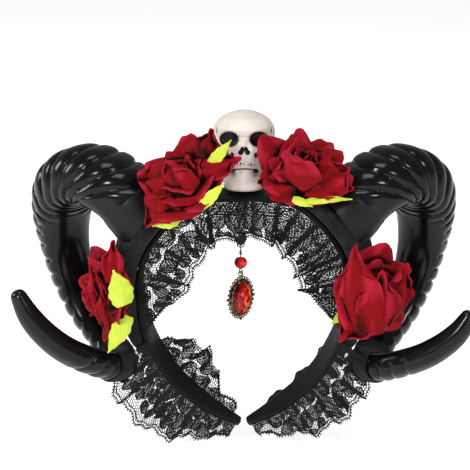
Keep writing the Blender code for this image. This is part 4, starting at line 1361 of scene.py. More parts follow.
@dataclass
class Leaf:
    """A stiff cloth leaf under a rose, from its foot to its tip."""

    name: str
    rose: Rose
    foot: Triple
    tip: Triple
    facing: Triple
    share: float
    seed: int
    width: float = 0.013
    cloth: float = 0.0005

    def shape(self, u: Array, v: Array) -> Array:
        """The leaf's sheet: u runs across it and v from its foot to its tip."""
        middle = self.rose.middle()
        start = middle + np.array(self.foot) * self.rose.radius
        run = middle + np.array(self.tip) * self.rose.radius - start
        across = unit(np.cross(run, self.facing))
        up = unit(np.cross(across, run))
        side = 2 * u - 1
        swell = 0.35 + 0.65 * np.sin(math.pi * np.minimum(0.12 + 0.95 * v, 1.0)) - 0.3 * v
        half = np.maximum(self.share * self.width / 2 * swell, 0.0) * (1 + 0.05 * np.sin(26 * v + self.seed))
        length = np.linalg.norm(run)
        wave = ripple(on_cloth(side * self.width, v * length), 9 * MM, self.seed) * 0.7 * MM * np.abs(side)
        lift = -0.25 * np.abs(side) ** 1.3 * half + 0.10 * length * np.sin(math.pi * v) + wave
        return start + run * v[:, None] + across * (side * half)[:, None] + up * lift[:, None]

    def build(self, cloth: Material) -> None:
        """Makes the leaf."""
        leaf = Bench.grid(f"cloth_{self.name}", 16, 34, self.shape)
        Bench.weld(leaf, 1e-5, outward=False)
        Bench.wall(leaf, self.cloth)
        dress(leaf, cloth, Body.HEADBAND, [self.name], 60.0)
        length = float(np.linalg.norm((np.array(self.tip) - np.array(self.foot)) * self.rose.radius))


@dataclass
class Ruffle:
    """One gathered length of lace: its net, its worked leaves and flowers, and its corded, picot edge."""

    hoop: Hoop
    name: str
    start: float
    end: float
    edge: Edge
    broad: Callable[[Array], Array]
    dense: Callable[[Array], Array]
    waves: float
    rise: float
    seed: int
    width: float = 0.029
    wave: float = 0.0050
    scallop: float = 0.10
    thickness: float = 0.0010
    gap: float = 0.0003
    mesh_size: float = 1.9 * MM
    fill_size: float = 1.02 * MM
    thread: float = 0.262 * MM
    cord: float = 0.78 * MM
    border: float = 0.78 * MM
    picot_cord: float = 0.74 * MM
    picot: float = 1.8 * MM
    samples: int = 800
    gauge: float = 0.75
    foot_fill: float = 2.4 * MM
    fill_weight: float = 1.26
    net_share: float = 0.985
    fill_share: float = 0.96
    cord_share: float = 0.95
    border_shares: tuple[float, float] = (0.925, 0.995)
    border_step: float = 1.0 * MM
    shortest_cord: int = 4
    pattern: float = 17 * MM

    def __post_init__(self) -> None:
        """Measures the cloth's own length up to each share of the ruffle."""
        self.share = np.linspace(0, 1, self.samples)
        line = self.surface(self.share, np.full(self.samples, self.gauge))
        self.run = np.concatenate([[0], np.cumsum(np.linalg.norm(np.diff(line, axis=0), axis=1))])
        self.length = float(self.run[-1])

    def lead(self, along: Array) -> tuple[Array, Array, Array]:
        """The ruffle's foot, the way that it runs and the way that it waves."""
        at = self.hoop.frame(along)
        offset = (at.width / 2 + self.gap + self.thickness / 2)[:, None]
        if self.edge is Edge.FRONT_INNER:
            return at.middle + at.front * offset, unit(at.front * 0.18 - at.out), at.front
        if self.edge is Edge.FRONT_OUTER:
            return at.middle + at.front * offset, unit(at.front * 0.25 + at.out + upward(-0.25)), at.front
        if self.edge is Edge.BACK_INNER:
            return at.middle - at.front * offset, unit(at.front * -0.30 - at.out), at.front
        return at.middle - at.front * offset, unit(at.out * 0.6 - at.front), at.out

    def reach(self, share: Array) -> Array:
        """How far the lace runs out at each share of its length."""
        return self.width * self.broad(share) * (1 - self.scallop * np.abs(np.cos(math.pi * self.waves * share)))

    def surface(self, share: Array, t: Array) -> Array:
        """A point of the gathered sheet: share runs along it and t out from its foot."""
        share = np.clip(share, 0.0, 1.0)
        foot, away, way = self.lead(self.start + (self.end - self.start) * share)
        full = np.minimum(self.broad(share), 1.0)
        phase = math.tau * self.waves * share + self.rise
        sway = np.sin(phase) + 0.30 * np.sin(2.7 * phase + self.seed) * np.clip(t, 0, 1)
        lift = self.wave * full * np.clip(t, 0, None) ** 0.8 * sway
        return foot + away * (self.reach(share) * t)[:, None] + way * lift[:, None]

    def place(self, x: Array) -> Array:
        """The share of the ruffle at each length along the flat lace."""
        return np.interp(x, self.run, self.share)

    def drawn(self, x: Array, y: Array) -> Array:
        """Takes places on the flat lace, in metres along it and out from its foot, to the ruffle."""
        place = self.place(x)
        return self.surface(place, y / np.maximum(self.reach(place), 1e-6))

    def honeycomb(self, cell: float) -> tuple[Array, Array]:
        """The threads of a hexagonal net over the flat lace, as their two ends."""
        side = cell / math.sqrt(3)
        columns, rows = int(self.length / (cell / 2)) + 2, int(self.width * 1.2 / (1.5 * side)) + 2
        i, j = np.meshgrid(np.arange(columns), np.arange(rows), indexing="ij")
        x, y = i * cell / 2, j * 1.5 * side + np.where((i + j) % 2, side / 2, 0.0)
        knots = np.stack([x, y], axis=-1)
        slanted = (knots[:-1].reshape(-1, 2), knots[1:].reshape(-1, 2))
        up = ((i + j) % 2 == 1)[:, :-1]
        upright = (knots[:, :-1][up], knots[:, 1:][up])
        return np.concatenate([slanted[0], upright[0]]), np.concatenate([slanted[1], upright[1]])

    def motifs(self) -> list[Motif]:
        """The worked leaves: middle along and out, length, width and slant, six to each repeat of the pattern."""
        draw = np.random.default_rng(self.seed)
        pitch = self.length / max(round(self.length / self.pattern), 1)
        made = []

        for k in range(int(round(self.length / pitch))):
            x = (k + 0.5) * pitch
            for lean in (-1, 1):
                for offset, out, long, wide, slants in (
                    (0.26, (0.40, 0.54), (12, 17), (7.5, 10.5), (20, 60)),
                    (0.36, (0.10, 0.20), (8, 12), (5.0, 7.0), (30, 80)),
                ):
                    middle = x + lean * offset * pitch + draw.uniform(-1, 1) * MM
                    size = (self.width * draw.uniform(*out), draw.uniform(*long) * MM, draw.uniform(*wide) * MM)
                    made.append((middle, *size, lean * draw.uniform(*slants)))
            for lean in (-1, 1):
                middle = x + (lean * 0.22 + draw.uniform(-0.05, 0.05)) * pitch
                size = (self.width * draw.uniform(0.70, 0.80), draw.uniform(7, 10) * MM, draw.uniform(6.0, 8.0) * MM)
                made.append((middle, *size, lean * draw.uniform(-20, 50)))
        return made

    @staticmethod
    def within(x: Array, y: Array, motif: Motif) -> Array:
        """Whether places lie inside a worked leaf."""
        cx, cy, long, wide, slant = motif
        cos, sin = math.cos(math.radians(slant)), math.sin(math.radians(slant))
        a, b = (x - cx) * sin + (y - cy) * cos, (x - cx) * cos - (y - cy) * sin
        s = np.clip(2 * a / long, -1, 1)
        return (np.abs(2 * a / long) < 1) & (np.abs(b) < wide / 2 * (1 - s * s))

    @staticmethod
    def outline(motif: Motif) -> list[Array]:
        """A worked leaf's outline and its middle vein, on the flat lace."""
        cx, cy, long, wide, slant = motif
        cos, sin = math.cos(math.radians(slant)), math.sin(math.radians(slant))
        turn = np.linspace(0, math.tau, 22)
        ring = (long / 2 * np.cos(turn), wide / 2 * np.sin(turn) * np.abs(np.sin(turn)))
        vein = (np.linspace(-0.62, 0.5, 6) * long, np.zeros(6))
        return [np.stack([cx + a * sin + b * cos, cy + a * cos - b * sin], axis=1) for a, b in (ring, vein)]

    def build(self, thread: Material) -> None:
        motifs = self.motifs()
        starts, ends, radii = [], [], []

        def keep(a: Array, b: Array, worked: Array | bool, rim: float, radius: float) -> None:
            limit = self.reach(self.place(np.minimum((a[:, 0] + b[:, 0]) / 2, self.length))) * rim
            inside = worked & (np.maximum(a[:, 0], b[:, 0]) < self.length) & (np.maximum(a[:, 1], b[:, 1]) < limit)
            starts.append(a[inside])
            ends.append(b[inside])
            radii.append(np.full(int(inside.sum()), radius))

        keep(*self.honeycomb(self.mesh_size), True, self.net_share, self.thread)
        a, b = self.honeycomb(self.fill_size)
        x, y = ((a + b) / 2).T
        worked = np.zeros(len(x), bool)
        for motif in motifs:
            worked |= self.within(x, y, motif)
        wander = 1 + 0.35 * np.sin(x / (2.3 * MM)) + 0.25 * np.sin(x / (0.9 * MM) + 1.0)
        worked |= y < self.foot_fill + self.dense(self.place(x)) * self.reach(self.place(x)) * wander
        keep(a, b, worked, self.fill_share, self.thread * self.fill_weight)
        p, q = np.concatenate(starts), np.concatenate(ends)
        facing = unit(self.lead(self.start + (self.end - self.start) * self.place(p[:, 0]))[2])
        net = Bench.strands(f"{self.name}_net", self.drawn(*p.T), self.drawn(*q.T), np.concatenate(radii), facing)
        parts = ((self.outlines(motifs), self.cord), (self.borders(), self.border), (self.picots(), self.picot_cord))
        made = [Bench.cord(f"{self.name}_cord_{k}", lines, thick / 2, 5) for k, (lines, thick) in enumerate(parts)]
        cords = Bench.join(f"corded_{self.name}", made)
        dress(cords, thread, Body.HEADBAND, [], 80.0)
        lace = Bench.join(f"netted_{self.name}", [net])
        dress(lace, thread, Body.HEADBAND, [self.name], 80.0)
        breadth, length = float(self.reach(np.linspace(0, 1, 60)).mean()), self.length

    def outlines(self, motifs: Sequence[Motif]) -> list[Array]:
        """The cords round the worked leaves, cut off at the lace's edge."""
        lines = []
        for line in (line for motif in motifs for line in self.outline(motif)):
            top = self.reach(self.place(line[:, 0])) * self.cord_share
            inside = np.flatnonzero((line[:, 1] < top) & (line[:, 0] > 0) & (line[:, 0] < self.length))
            if len(inside) < len(line):
                if len(inside) <= self.shortest_cord:
                    continue
                line = line[inside[0]:inside[-1] + 1]
                line[:, 1] = np.minimum(line[:, 1], top[inside[0]:inside[-1] + 1])
            lines.append(self.drawn(*line.T))
        return lines

    def borders(self) -> list[Array]:
        """The two cords along the scalloped edge."""
        place = self.place(np.arange(0, self.length, self.border_step))
        ends = np.minimum(smooth_step(0.0, 0.03, place) + 0.02, 1 - smooth_step(0.97, 1.0, place) + 0.02)
        return [self.surface(place, t * np.minimum(ends * 1.2, 1.0)) for t in self.border_shares]

    def picots(self) -> list[Array]:
        """The small stubs that stand out of the edge."""
        lines = []
        for x in np.arange(self.picot, self.length - self.picot, self.picot):
            place = self.place(x + np.array([-0.10, 0.0, 0.10]) * self.picot)
            t = 1.0 + np.array([-0.1, 1.5, 0.4]) * MM / np.maximum(self.reach(place), 2 * MM)
            lines.append(self.surface(place, t))
        return lines


@dataclass
class Drop:
    """The hanging jewel: a thread tab, a bronze wire with a cut bead, and a set oval stone."""

    across: float = -0.0020
    forward: float = 0.0168
    below: float = 0.0262
    wire: float = 0.00040
    loop_radius: float = 0.0022
    eye_radius: float = 0.0015
    bead_radius: float = 0.0038
    bead_height: float = 0.0062
    shank: float = 0.0046
    gap: float = 0.0003
    setting_width: float = 0.0190
    setting_height: float = 0.0268
    setting_thickness: float = 0.0024
    turn: float = 35.0
    stone_width: float = 0.0130
    stone_height: float = 0.0193
    stone_crown: float = 0.0026
    stone_pitch: float = 0.0026
    bead_facets: int = 12
    bead_rows: int = 8
    bead_swell: float = 1.06
    bead_flat: float = 0.80
    tab_top: float = 0.0072
    tab_half: float = 0.0038
    tab_length: float = 0.0054
    tab_cloth: float = 0.0008
    thread_apart: float = 0.00020
    collar_turns: int = 3
    collar_pitch: float = 0.0008
    bezel_out: float = 0.0003
    bezel_wire: float = 0.00042
    grains: int = 46
    grain_out: float = 0.00085
    grain: float = 0.00036
    fine_grain: float = 0.0004
    rope_out: float = 0.00135
    rope_twists: int = 32
    rope_wound: float = 0.00034
    rope_wire: float = 0.00036
    scrolls: int = 28
    scroll_in: float = 0.00085
    scroll: float = 0.00078
    scroll_wire: float = 0.00040
    tip_out: float = 0.00010
    tip: float = 0.00046
    large_tip: float = 0.00095
    large_tip_step: int = 7
    # The painted facet light: its middle tone, how much it follows the light, and how far it is drawn at random.
    bead_painted_light: Triple = (0.24, 0.46, 0.26)
    stone_painted_light: Triple = (0.36, 0.66, 0.26)

    def __post_init__(self) -> None:
        """Works out the heights along the drop from its sizes."""
        rest = 2 * self.wire + self.gap
        self.upper = np.array([self.across, -self.forward, -self.below])
        self.eye_top = rest - self.eye_radius
        self.bead_middle = rest - 2 * self.eye_radius - self.shank - self.bead_height / 2
        self.lower_pivot = self.bead_middle - self.bead_height / 2 - self.gap - self.wire - 2 * self.eye_radius
        self.lower = self.upper + upward(self.lower_pivot)
        self.setting_middle = rest - 2 * self.eye_radius - self.setting_height / 2

    def hung(self, points: Array) -> Array:
        """Takes points from the setting's own frame, where it faces the front, to where it hangs."""
        return spun(points, self.turn, "Z") + self.lower

    @staticmethod
    def ring(radius: float, count: int, turn: float = 0.0) -> Array:
        """An upright circle round the origin, its plane turned about the vertical."""
        angle = math.tau * np.arange(count) / count
        upright = np.stack([radius * np.cos(angle), np.zeros(count), radius * np.sin(angle)], axis=1)
        return spun(upright, turn, "Z")

    def tab_shape(self, u: Array, v: Array) -> Array:
        """The folded satin tab that holds the loop, under the lace's edge."""
        side = 2 * u - 1
        half = self.tab_half * np.sqrt(np.clip(1 - 0.80 * v**2, 0.0, 1.0))
        top = self.upper + upward(self.tab_top)
        depth = 0.0009 * np.sin(math.pi * u) + 0.0005 * np.sin(5 * u)
        return top + np.stack([side * half, -depth - 0.0006, -v * (self.tab_length - 0.0010 * side**2)], axis=1)

    def build_loop(self, satin: Material) -> None:
        """Makes the tab and the thread loop below it."""
        tab = Bench.grid("drop_tab_sheet", 14, 12, self.tab_shape)
        Bench.wall(tab, self.tab_cloth)
        centre = self.upper + upward(self.loop_radius)
        ring = centre + self.ring(self.loop_radius, 28)
        strands = [ring + np.array([0, apart, 0]) for apart in (-self.thread_apart, self.thread_apart)]
        threads = Bench.cord("loop_threads", strands, self.wire * 0.85, 8, closed=True)
        loop = Bench.join("thread_loop", [tab, threads])
        dress(loop, satin, Body.HEADBAND, ["drop_loop"], 50.0)

    def build_wire(self, bronze: Material, glass: Material) -> None:
        """Makes the wire with its two eyes and its wound collars, and the cut bead."""
        top = self.upper + upward(self.eye_top)
        low = self.upper + upward(self.lower_pivot + self.eye_radius)
        eyes = [top + self.ring(self.eye_radius, 26, 90.0), low + self.ring(self.eye_radius, 26, self.turn + 90.0)]
        pieces = [Bench.cord("wire_eyes", eyes, self.wire, 10, closed=True)]
        heights = np.linspace(self.eye_top - self.eye_radius, self.lower_pivot + 2 * self.eye_radius, 24)
        shank = self.upper + np.stack([np.zeros(24), np.zeros(24), heights], axis=1)
        pieces.append(Bench.cord("wire_shank", [shank], self.wire * 0.9, 10))
        turns = np.linspace(0, self.collar_turns * math.tau, 60)
        wound = self.wire * 1.6
        fall = -turns / math.tau * self.collar_pitch
        coil = np.stack([np.cos(turns) * wound, np.sin(turns) * wound, fall], axis=1)
        collar = self.upper + coil + upward(self.eye_top - self.eye_radius - 0.0003)
        pieces.append(Bench.cord("wire_collar", [collar], self.wire * 0.7, 7))
        wire = Bench.join("bronze_wire", pieces)
        dress(wire, bronze, Body.WIRE, ["eye_pin"], 50.0)
        self.build_bead(glass)

    def build_bead(self, glass: Material) -> None:
        """Makes the drilled bead with two rows of slanting facets."""
        Bench.clear()
        bpy.ops.mesh.primitive_uv_sphere_add(segments=self.bead_facets, ring_count=self.bead_rows, radius=1.0)
        bead = Bench.named("cut_bead")
        points = Bench.points(bead)
        level = np.round((np.arccos(np.clip(points[:, 2], -1, 1)) / math.pi) * self.bead_rows)
        lean = np.where(level % 2 == 1, math.pi / self.bead_facets, 0.0)
        x = points[:, 0] * np.cos(lean) - points[:, 1] * np.sin(lean)
        y = points[:, 0] * np.sin(lean) + points[:, 1] * np.cos(lean)
        drilled = np.clip(points[:, 2], -self.bead_flat, self.bead_flat) / self.bead_flat
        x, y = (part * self.bead_radius * self.bead_swell for part in (x, y))
        scaled = np.stack([x, y, drilled * self.bead_height / 2], axis=1)
        Bench.move(bead, self.upper + upward(self.bead_middle) + scaled)
        Bench.modify(bead, "TRIANGULATE")
        # The bead's facets get painted light, brightest where they face this way.
        self.paint_facet_light(bead, 11, np.array([0.55, -0.60, 0.45]), self.bead_painted_light, by_place=True)
        dress(bead, glass, Body.WIRE, ["bead"], 5.0)

    @staticmethod
    def paint_facet_light(piece: Piece, seed: int, way: Array, tone: Triple,
                   by_place: bool = False) -> None:
        """Splits a cut piece into facets and stores each facet's painted light, the highlight or shade that it seems
        to send back.

        Args:
            piece: the bead or the stone.
            seed: which of the patterns to draw.
            way: facets that look this way get the painted highlights, those turned away the painted shade.
            tone: the painted light's middle tone, how much it follows the way, and how far it is drawn at random.
            by_place: whether to draw them in the order of their places, because the order of a sphere's faces
                differs from run to run.
        """
        with Bench.editing(piece):
            bpy.ops.mesh.edge_split(type="EDGE")
        draw = np.random.default_rng(seed)
        values = np.zeros(len(piece.data.vertices))
        way = way / np.linalg.norm(way)
        mean = np.mean([face.normal for face in piece.data.polygons], axis=0)
        faces = list(piece.data.polygons)
        if by_place:
            faces.sort(key=lambda face: tuple(round(part, 6) for part in face.center))
        for face in faces:
            turned_to = float(np.dot(np.array(face.normal) - mean, way))
            bright = tone[0] + tone[1] * turned_to + draw.uniform(-tone[2], tone[2])
            values[list(face.vertices)] = np.clip(bright, 0.0, 1.0)
        Bench.attribute(piece, "fire", values)

    def oval(self, half: Array, depth: float, count: int) -> Array:
        """Points of an oval in the setting's plane, at a depth behind its middle."""
        angle = math.tau * np.arange(count) / count
        line = np.stack([half[0] * np.cos(angle), np.full(count, depth), half[1] * np.sin(angle)], axis=1)
        return line + upward(self.setting_middle)

    def build_setting(self, bronze: Material) -> None:
        """Makes the filigree setting: a cup for the stone, a beaded and a corded ring, and scrolls between them."""
        face, back = -self.setting_thickness / 2, self.setting_thickness / 2
        inner = np.array([self.stone_width, self.stone_height]) / 2 + self.gap
        outer = np.array([self.setting_width, self.setting_height]) / 2
        depth, samples = face + 0.0010, 200
        rim = self.hung(self.oval(inner + self.bezel_out, face - 0.0001, 72))
        pieces = [Bench.cord("bezel_rim", [rim], self.bezel_wire, 8, closed=True)]
        beads = self.oval(inner + self.grain_out, face + 0.0005, self.grains)
        pieces += [self.pellet(f"mill_{k}", point, self.grain) for k, point in enumerate(beads)]
        rope = self.oval(inner + self.rope_out, depth, samples)
        wind = math.tau * self.rope_twists * np.arange(samples) / samples
        for phase in (0.0, math.pi):
            away = unit(rope - np.array([0.0, depth, self.setting_middle]))
            strand = rope + away * (np.cos(wind + phase) * self.rope_wound)[:, None]
            strand[:, 1] += np.sin(wind + phase) * self.rope_wound
            pieces.append(Bench.cord(f"rope_{phase:.0f}", [self.hung(strand)], self.rope_wire, 6, closed=True))
        middles = self.oval(outer - self.scroll_in, depth, self.scrolls)
        scrolls = [self.hung(point + self.ring(self.scroll, 14)) for point in middles]
        pieces.append(Bench.cord("scrolls", scrolls, self.scroll_wire, 6, closed=True))
        for k, point in enumerate(self.oval(outer + self.tip_out, depth, self.scrolls)):
            pieces.append(self.pellet(f"tip_{k}", point, self.tip if k % self.large_tip_step else self.large_tip))
        pieces.append(self.cup(inner, face, back))
        bail = self.ring(self.eye_radius, 26) + upward(2 * self.wire + self.gap - self.eye_radius)
        pieces.append(Bench.cord("bail", [self.hung(bail)], self.wire, 10, closed=True))
        setting = Bench.join("filigree_setting", pieces)
        dress(setting, bronze, Body.DROP, ["setting"], 50.0)

    def pellet(self, name: str, point: Array, radius: float) -> Piece:
        """A small round grain of bronze."""
        Bench.clear()
        bpy.ops.mesh.primitive_ico_sphere_add(subdivisions=1 if radius < self.fine_grain else 2, radius=radius)
        grain = Bench.named(name)
        Bench.move(grain, self.hung(Bench.points(grain) + point))
        return grain

    def cup(self, inner: Array, face: float, back: float) -> Piece:
        """The plate behind the stone with its upright wall."""
        rim, plate, lip = inner + 0.0006, face + 0.0013, face - 0.0001
        profile = np.array([(0.0, 0.0, plate), (*inner, plate), (*inner, lip), (*rim, lip), (*rim, back),
                            (0.0, 0.0, back)])

        def shape(u: Array, v: Array) -> Array:
            wide, tall, depth = profile[np.round(v * (len(profile) - 1)).astype(int)].T
            turn = math.tau * u
            wall = np.stack([wide * np.cos(turn), depth, tall * np.sin(turn)], axis=1)
            return self.hung(wall + upward(self.setting_middle))

        piece = Bench.grid("stone_cup", 56, len(profile) - 1, shape)
        Bench.weld(piece)
        return piece

    def build_stone(self, glass: Material) -> None:
        """Makes the oval stone with a chequered crown: squares set on their corners over a low dome."""
        face = -self.setting_thickness / 2
        half = np.array([self.stone_width, self.stone_height]) / 2
        pitch, reach, crown = self.stone_pitch, 8, 0.86
        i, j = np.meshgrid(np.arange(-reach, reach + 1), np.arange(-reach, reach + 1), indexing="ij")
        knots = np.stack([(i + j) * pitch / 2, (i - j) * pitch / 2 * 1.25], axis=-1).reshape(-1, 2)
        size = np.hypot(knots[:, 0] / half[0], knots[:, 1] / half[1])
        knots, size = knots[size < crown], size[size < crown]
        domed = face - 0.0003 - self.stone_crown * np.sqrt(1 - size**2 * 0.92)
        dome = np.stack([knots[:, 0], domed, knots[:, 1]], axis=1) + upward(self.setting_middle)
        rim = self.oval(half, face - 0.0004, 24)
        foot = rim + np.array([0.0, 0.0013, 0.0])
        stone = Bench.raw("chequered_stone", self.hung(np.concatenate([dome, rim, foot])), [])
        with Bench.editing(stone):
            bpy.ops.mesh.convex_hull()
            bpy.ops.mesh.select_all(action="SELECT")
            bpy.ops.mesh.tris_convert_to_quads(face_threshold=math.radians(9), shape_threshold=math.radians(60))
        # The stone's facets get painted light, brightest where they face this way.
        self.paint_facet_light(stone, 23, np.array([0.95, -0.25, -0.20]), self.stone_painted_light)
        dress(stone, glass, Body.DROP, ["stone"], 5.0)

    def build(self, satin: Material, bronze: Material, bead: Material,
              stone: Material) -> None:
        """Makes the whole drop."""
        self.build_loop(satin)
        self.build_wire(bronze, bead)
        self.build_setting(bronze)
        self.build_stone(stone)


@dataclass
class Studio:
    """The pale floor, the soft lights and the camera."""

    floor_z: float = -0.1640
    floor_size: float = 12.0
    floor_back: float = 4.0
    paper_tone: Triple = (0.93, 0.93, 0.93)
    near_clip: float = 0.05
    sky: float = 0.32
    paper_glow: float = 0.52
    target: Triple = (-0.0054, -0.00705, -0.0217)
    distance: float = 1.1
    elevation: float = 18.0
    lens: float = 140.4
    sensor: float = 36.0
    lights: Sequence[Sequence[object]] = (
        # name, place, width, power
        ("key_softbox", (-0.62, -1.00, 0.46), 0.17, 9.5),
        ("fill_softbox", (0.70, -1.00, 0.50), 0.20, 6.5),
        ("top_softbox", (-0.05, -0.30, 1.25), 0.60, 8.0),
        ("left_strip", (-1.10, 0.10, 0.35), 0.35, 6.0),
    )

    def build(self) -> None:
        """Makes the floor, the lights, the backdrop light and the camera."""
        Bench.clear()
        bpy.ops.mesh.primitive_plane_add(size=self.floor_size, location=(0, 0, 0))
        floor = Bench.named("studio_floor")
        Bench.move(floor, Bench.points(floor) + np.array([0.0, self.floor_back, self.floor_z]))
        paper = Finish("pale_paper")
        paper.set(base_color=self.paper_tone, roughness=0.9, specular_ior_level=0.1)
        paper.set(emission_color=(1.0, 1.0, 1.0), emission_strength=self.paper_glow)
        floor.data.materials.append(paper.material)
        for name, place, width, power in self.lights:
            light = bpy.data.lights.new(name, "AREA")
            light.shape = "SQUARE"
            light.size = width
            light.energy = power
            lamp = bpy.data.objects.new(name, light)
            lamp.location = place
            lamp.rotation_euler = (Vector(self.target) - Vector(place)).to_track_quat("-Z", "Y").to_euler()
            bpy.context.scene.collection.objects.link(lamp)
        bpy.context.scene.view_settings.view_transform = "Standard"
        world = bpy.context.scene.world or bpy.data.worlds.new("studio")
        bpy.context.scene.world = world
        world.use_nodes = True
        backdrop = world.node_tree.nodes["Background"]
        backdrop.inputs["Color"].default_value = (1.0, 1.0, 1.0, 1.0)
        backdrop.inputs["Strength"].default_value = self.sky
        view = bpy.data.cameras.new("view")
        view.lens = self.lens
        view.sensor_width = self.sensor
        view.clip_start = self.near_clip
        camera = bpy.data.objects.new("view", view)
        lift = math.radians(self.elevation)
        away = Vector((0.0, -math.cos(lift), math.sin(lift)))
        camera.location = Vector(self.target) + away * self.distance
        camera.rotation_euler = (math.radians(90 - self.elevation), 0.0, 0.0)
        bpy.context.scene.collection.objects.link(camera)
        bpy.context.scene.camera = camera


ROSES = (
    # name, along, out, front, facing, size, turn, side with the shorter petals,
    #     loose petals: foot, tip, facing, width, nap (the petal's own tone, before its painted shade and highlights)
    ("rose_top_left", -0.115, 0.0145, 0.0212, (-0.36, -0.64, 0.68), 0.93, 20.0, (0.70, 0.0, -0.70), (
        ((-0.0260, -0.0360, 0.0270), (-0.0015, -0.0290, 0.0318), (0.0, -0.8, 0.6), 0.0150, 0.90),
        ((-0.0246, -0.0300, 0.0300), (-0.0180, -0.0220, 0.0478), (-0.4, -0.9, 0.1), 0.0150, 0.45),
        ((-0.0420, -0.0360, 0.0160), (-0.0568, -0.0310, -0.0092), (-0.3, -0.9, 0.4), 0.0200, 0.80),
        ((-0.0396, -0.0360, 0.0240), (-0.0615, -0.0250, 0.0170), (-0.3, -0.8, 0.6), 0.0210, 0.60),
        ((-0.0345, -0.0390, 0.0120), (-0.0440, -0.0370, 0.0350), (-0.6, -0.8, 0.2), 0.0210, 0.75),
    )),
    ("rose_top_right", 0.120, 0.0172, 0.0147, (0.20, -0.55, 0.81), 0.93, 150.0, (-0.2, 0.0, -1.85), (
        ((0.0345, -0.0375, 0.0150), (0.0235, -0.0370, 0.0400), (-0.55, -0.8, 0.25), 0.0240, 1.02),
        ((0.0366, -0.0355, 0.0185), (0.0640, -0.0270, 0.0122), (0.2, -0.8, 0.6), 0.0160, 0.78),
        ((0.0300, -0.0350, 0.0178), (0.0075, -0.0290, 0.0170), (0.0, -0.8, 0.6), 0.0180, 0.62),
        ((0.0440, -0.0350, 0.0180), (0.0610, -0.0240, 0.0250), (0.3, -0.8, 0.6), 0.0200, 0.80),
    )),
    ("rose_side_left", -0.440, 0.0125, 0.0095, (-0.93, -0.36, 0.10), 0.90, 56.0, (0.80, 0.0, -0.2), (
        ((-0.0785, -0.0320, -0.0436), (-0.0772, -0.0210, -0.0200), (-0.2, -0.9, 0.2), 0.0112, 1.00),
        ((-0.0840, -0.0290, -0.0720), (-0.0900, -0.0230, -0.0330), (-0.5, -0.8, 0.2), 0.0150, 0.80),
        ((-0.0790, -0.0330, -0.0740), (-0.0830, -0.0300, -0.0450), (-0.2, -0.9, 0.2), 0.0130, 0.70),
        ((-0.0800, -0.0360, -0.0590), (-0.0680, -0.0350, -0.0555), (0.2, -0.9, 0.3), 0.0120, 0.35),
    )),
    ("rose_side_right", 0.420, 0.0085, 0.0158, (0.58, -0.80, 0.05), 0.92, 236.0, (-0.8, 0.0, 0.3), (
        ((0.0680, -0.0390, -0.0740), (0.0660, -0.0330, -0.0180), (-0.45, -0.9, 0.1), 0.0260, 0.85),
        ((0.0790, -0.0380, -0.0740), (0.0800, -0.0360, -0.0330), (0.3, -0.9, 0.2), 0.0240, 1.00),
        ((0.0860, -0.0330, -0.0700), (0.0950, -0.0230, -0.0330), (0.6, -0.7, 0.2), 0.0220, 0.70),
        ((0.0740, -0.0370, -0.0560), (0.0575, -0.0310, -0.0800), (-0.3, -0.9, 0.1), 0.0200, 0.80),
    )),
)

CLOTHS = (
    # name, dark, light, fibre, roughness, sheen, relief
    ("black_satin", (0.0026, 0.0026, 0.0030), (0.0065, 0.0065, 0.0075), 0.6 * MM, 0.60, 0.02, 0.12 * MM),
    ("black_felt", (0.0030, 0.0030, 0.0034), (0.024, 0.024, 0.027), 0.7 * MM, 0.95, 0.04, 0.50 * MM),
    ("lace_thread", (0.0040, 0.0040, 0.004), (0.008, 0.008, 0.009), 0.3 * MM, 0.75, 0.03, 0.04 * MM),
)

GLASSES = (
    # name, low, middle, high, glint: the painted facet light, from painted shade to painted glint
    ("red_bead_glass", (0.045, 0.0006, 0.0008), (0.36, 0.002, 0.002), (0.62, 0.012, 0.008), (0.95, 0.42, 0.28)),
    ("red_stone_glass", (0.010, 0.0004, 0.001), (0.13, 0.0008, 0.001), (0.52, 0.006, 0.003), (0.85, 0.17, 0.022)),
)

LEAVES = (
    # name, rose, foot, tip, facing, width
    ("leaf_top_left_1", "rose_top_left", (0.42, -0.15, 0.28), (0.78, -0.21, 0.73), (0.2, -1.0, 0.3), 0.60),
    ("leaf_top_left_2", "rose_top_left", (0.26, -0.44, -0.40), (0.66, -0.34, 0.00), (0.3, -0.8, 0.5), 0.60),
    ("leaf_top_left_3", "rose_top_left", (-0.14, -0.12, -0.62), (-0.60, -0.10, -0.86), (0.0, -0.9, 0.4), 1.05),
    ("leaf_top_right_1", "rose_top_right", (-0.20, -0.50, -0.40), (0.14, -0.56, -0.53), (0.1, -0.8, 0.5), 0.42),
    ("leaf_top_right_2", "rose_top_right", (0.00, -0.52, -0.45), (0.84, -0.34, -0.46), (0.1, -0.8, 0.5), 0.37),
    ("leaf_side_left_1", "rose_side_left", (0.44, -0.84, 0.06), (0.24, -0.80, 0.70), (0.3, -0.9, 0.2), 1.30),
    ("leaf_side_left_2", "rose_side_left", (0.46, -0.56, -0.24), (0.10, -0.58, -0.94), (0.2, -0.9, 0.1), 1.00),
    ("leaf_side_right_1", "rose_side_right", (-0.41, -0.10, 0.00), (-0.54, -0.14, 0.43), (-0.5, -0.8, 0.1), 0.60),
    ("leaf_side_right_2", "rose_side_right", (-0.40, 0.225, -0.41), (-0.75, 0.145, -0.68), (-0.4, -0.8, 0.2), 0.60),
)


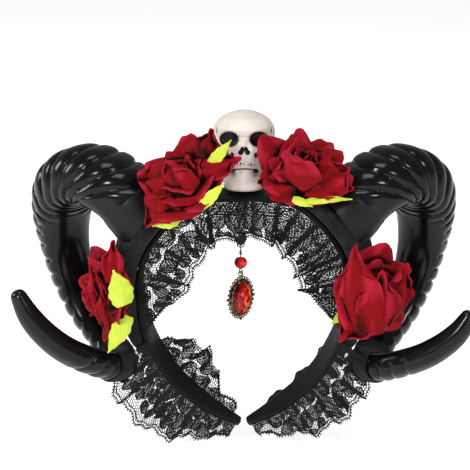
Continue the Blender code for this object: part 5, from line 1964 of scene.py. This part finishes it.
def ruffles(hoop: Hoop) -> list[Ruffle]:
    """The five lengths of lace round the hoop."""

    def top(share: Array) -> Array:
        swell = 0.28 * np.abs(np.sin(4.0 * (share - 0.5)))
        return np.maximum(0.82 + swell - smooth_step(0.34, 0.5, np.abs(share - 0.5)), 0.03)

    def lower(share: Array) -> Array:
        return 0.75 + 0.45 * smooth_step(0.0, 0.2, share) - 0.85 * smooth_step(0.45, 1.0, share)

    def lower_right(share: Array) -> Array:
        return 0.86 * lower(share)

    def back(share: Array) -> Array:
        return 0.22 + 0.55 * np.sin(math.pi * np.minimum(share * 1.3, 1.0))

    def plain(share: Array) -> Array:
        return 0.30 + 0.12 * np.sin(math.pi * share)

    def top_dense(share: Array) -> Array:
        return 0.10 + 0.62 * np.exp(-(((share - 0.52) / 0.12) ** 2)) + 0.42 * smooth_step(0.56, 0.70, share)

    def even(share: Array) -> Array:
        return np.full(len(share), 0.16)

    return [
        Ruffle(hoop, "lace_top", -0.58, 0.58, Edge.FRONT_INNER, top, top_dense, 11, 0.4, 7),
        Ruffle(hoop, "lace_lower_left", -0.600, -0.975, Edge.FRONT_OUTER, lower, even, 5, 1.3, 8),
        Ruffle(hoop, "lace_lower_right", 0.600, 0.975, Edge.FRONT_OUTER, lower_right, even, 5, 1.3, 9),
        Ruffle(hoop, "lace_back_left", -0.65, -0.96, Edge.BACK_INNER, back, even, 4, 0.2, 10),
        Ruffle(hoop, "lace_back_right", 0.66, 0.94, Edge.BACK_PLAIN, plain, even, 3, 2.0, 11),
    ]


def main() -> None:
    """Builds every sub-assembly in order."""
    logging.basicConfig(level=logging.INFO, format="%(name)s: %(message)s")
    Studio().build()
    hoop = Hoop()
    satin, felt, thread = (BlackCloth(*row).make() for row in CLOTHS)
    bronze = AgedBronze().make()
    hoop.build(satin, felt)
    moulding, net = MouldedHorn().make(), NetCloth().make()
    for side in Side:
        Horn(hoop, side).build(moulding, net, felt)
    Skull().build(SkullResin().make())
    velvet = RoseVelvet().make()
    roses = {row[0]: Rose(hoop, *row, seed=31 + number) for number, row in enumerate(ROSES)}
    for rose in roses.values():
        rose.build(velvet)
    green = LeafCloth().make()
    for number, (name, rose, *rest) in enumerate(LEAVES):
        Leaf(name, roses[rose], *rest, seed=50 + number).build(green)
    for ruffle in ruffles(hoop):
        ruffle.build(thread)
    bead_glass, stone_glass = (CutGlass(*row).make() for row in GLASSES)
    Drop().build(satin, bronze, bead_glass, stone_glass)


if __name__ == "__main__":
    main()
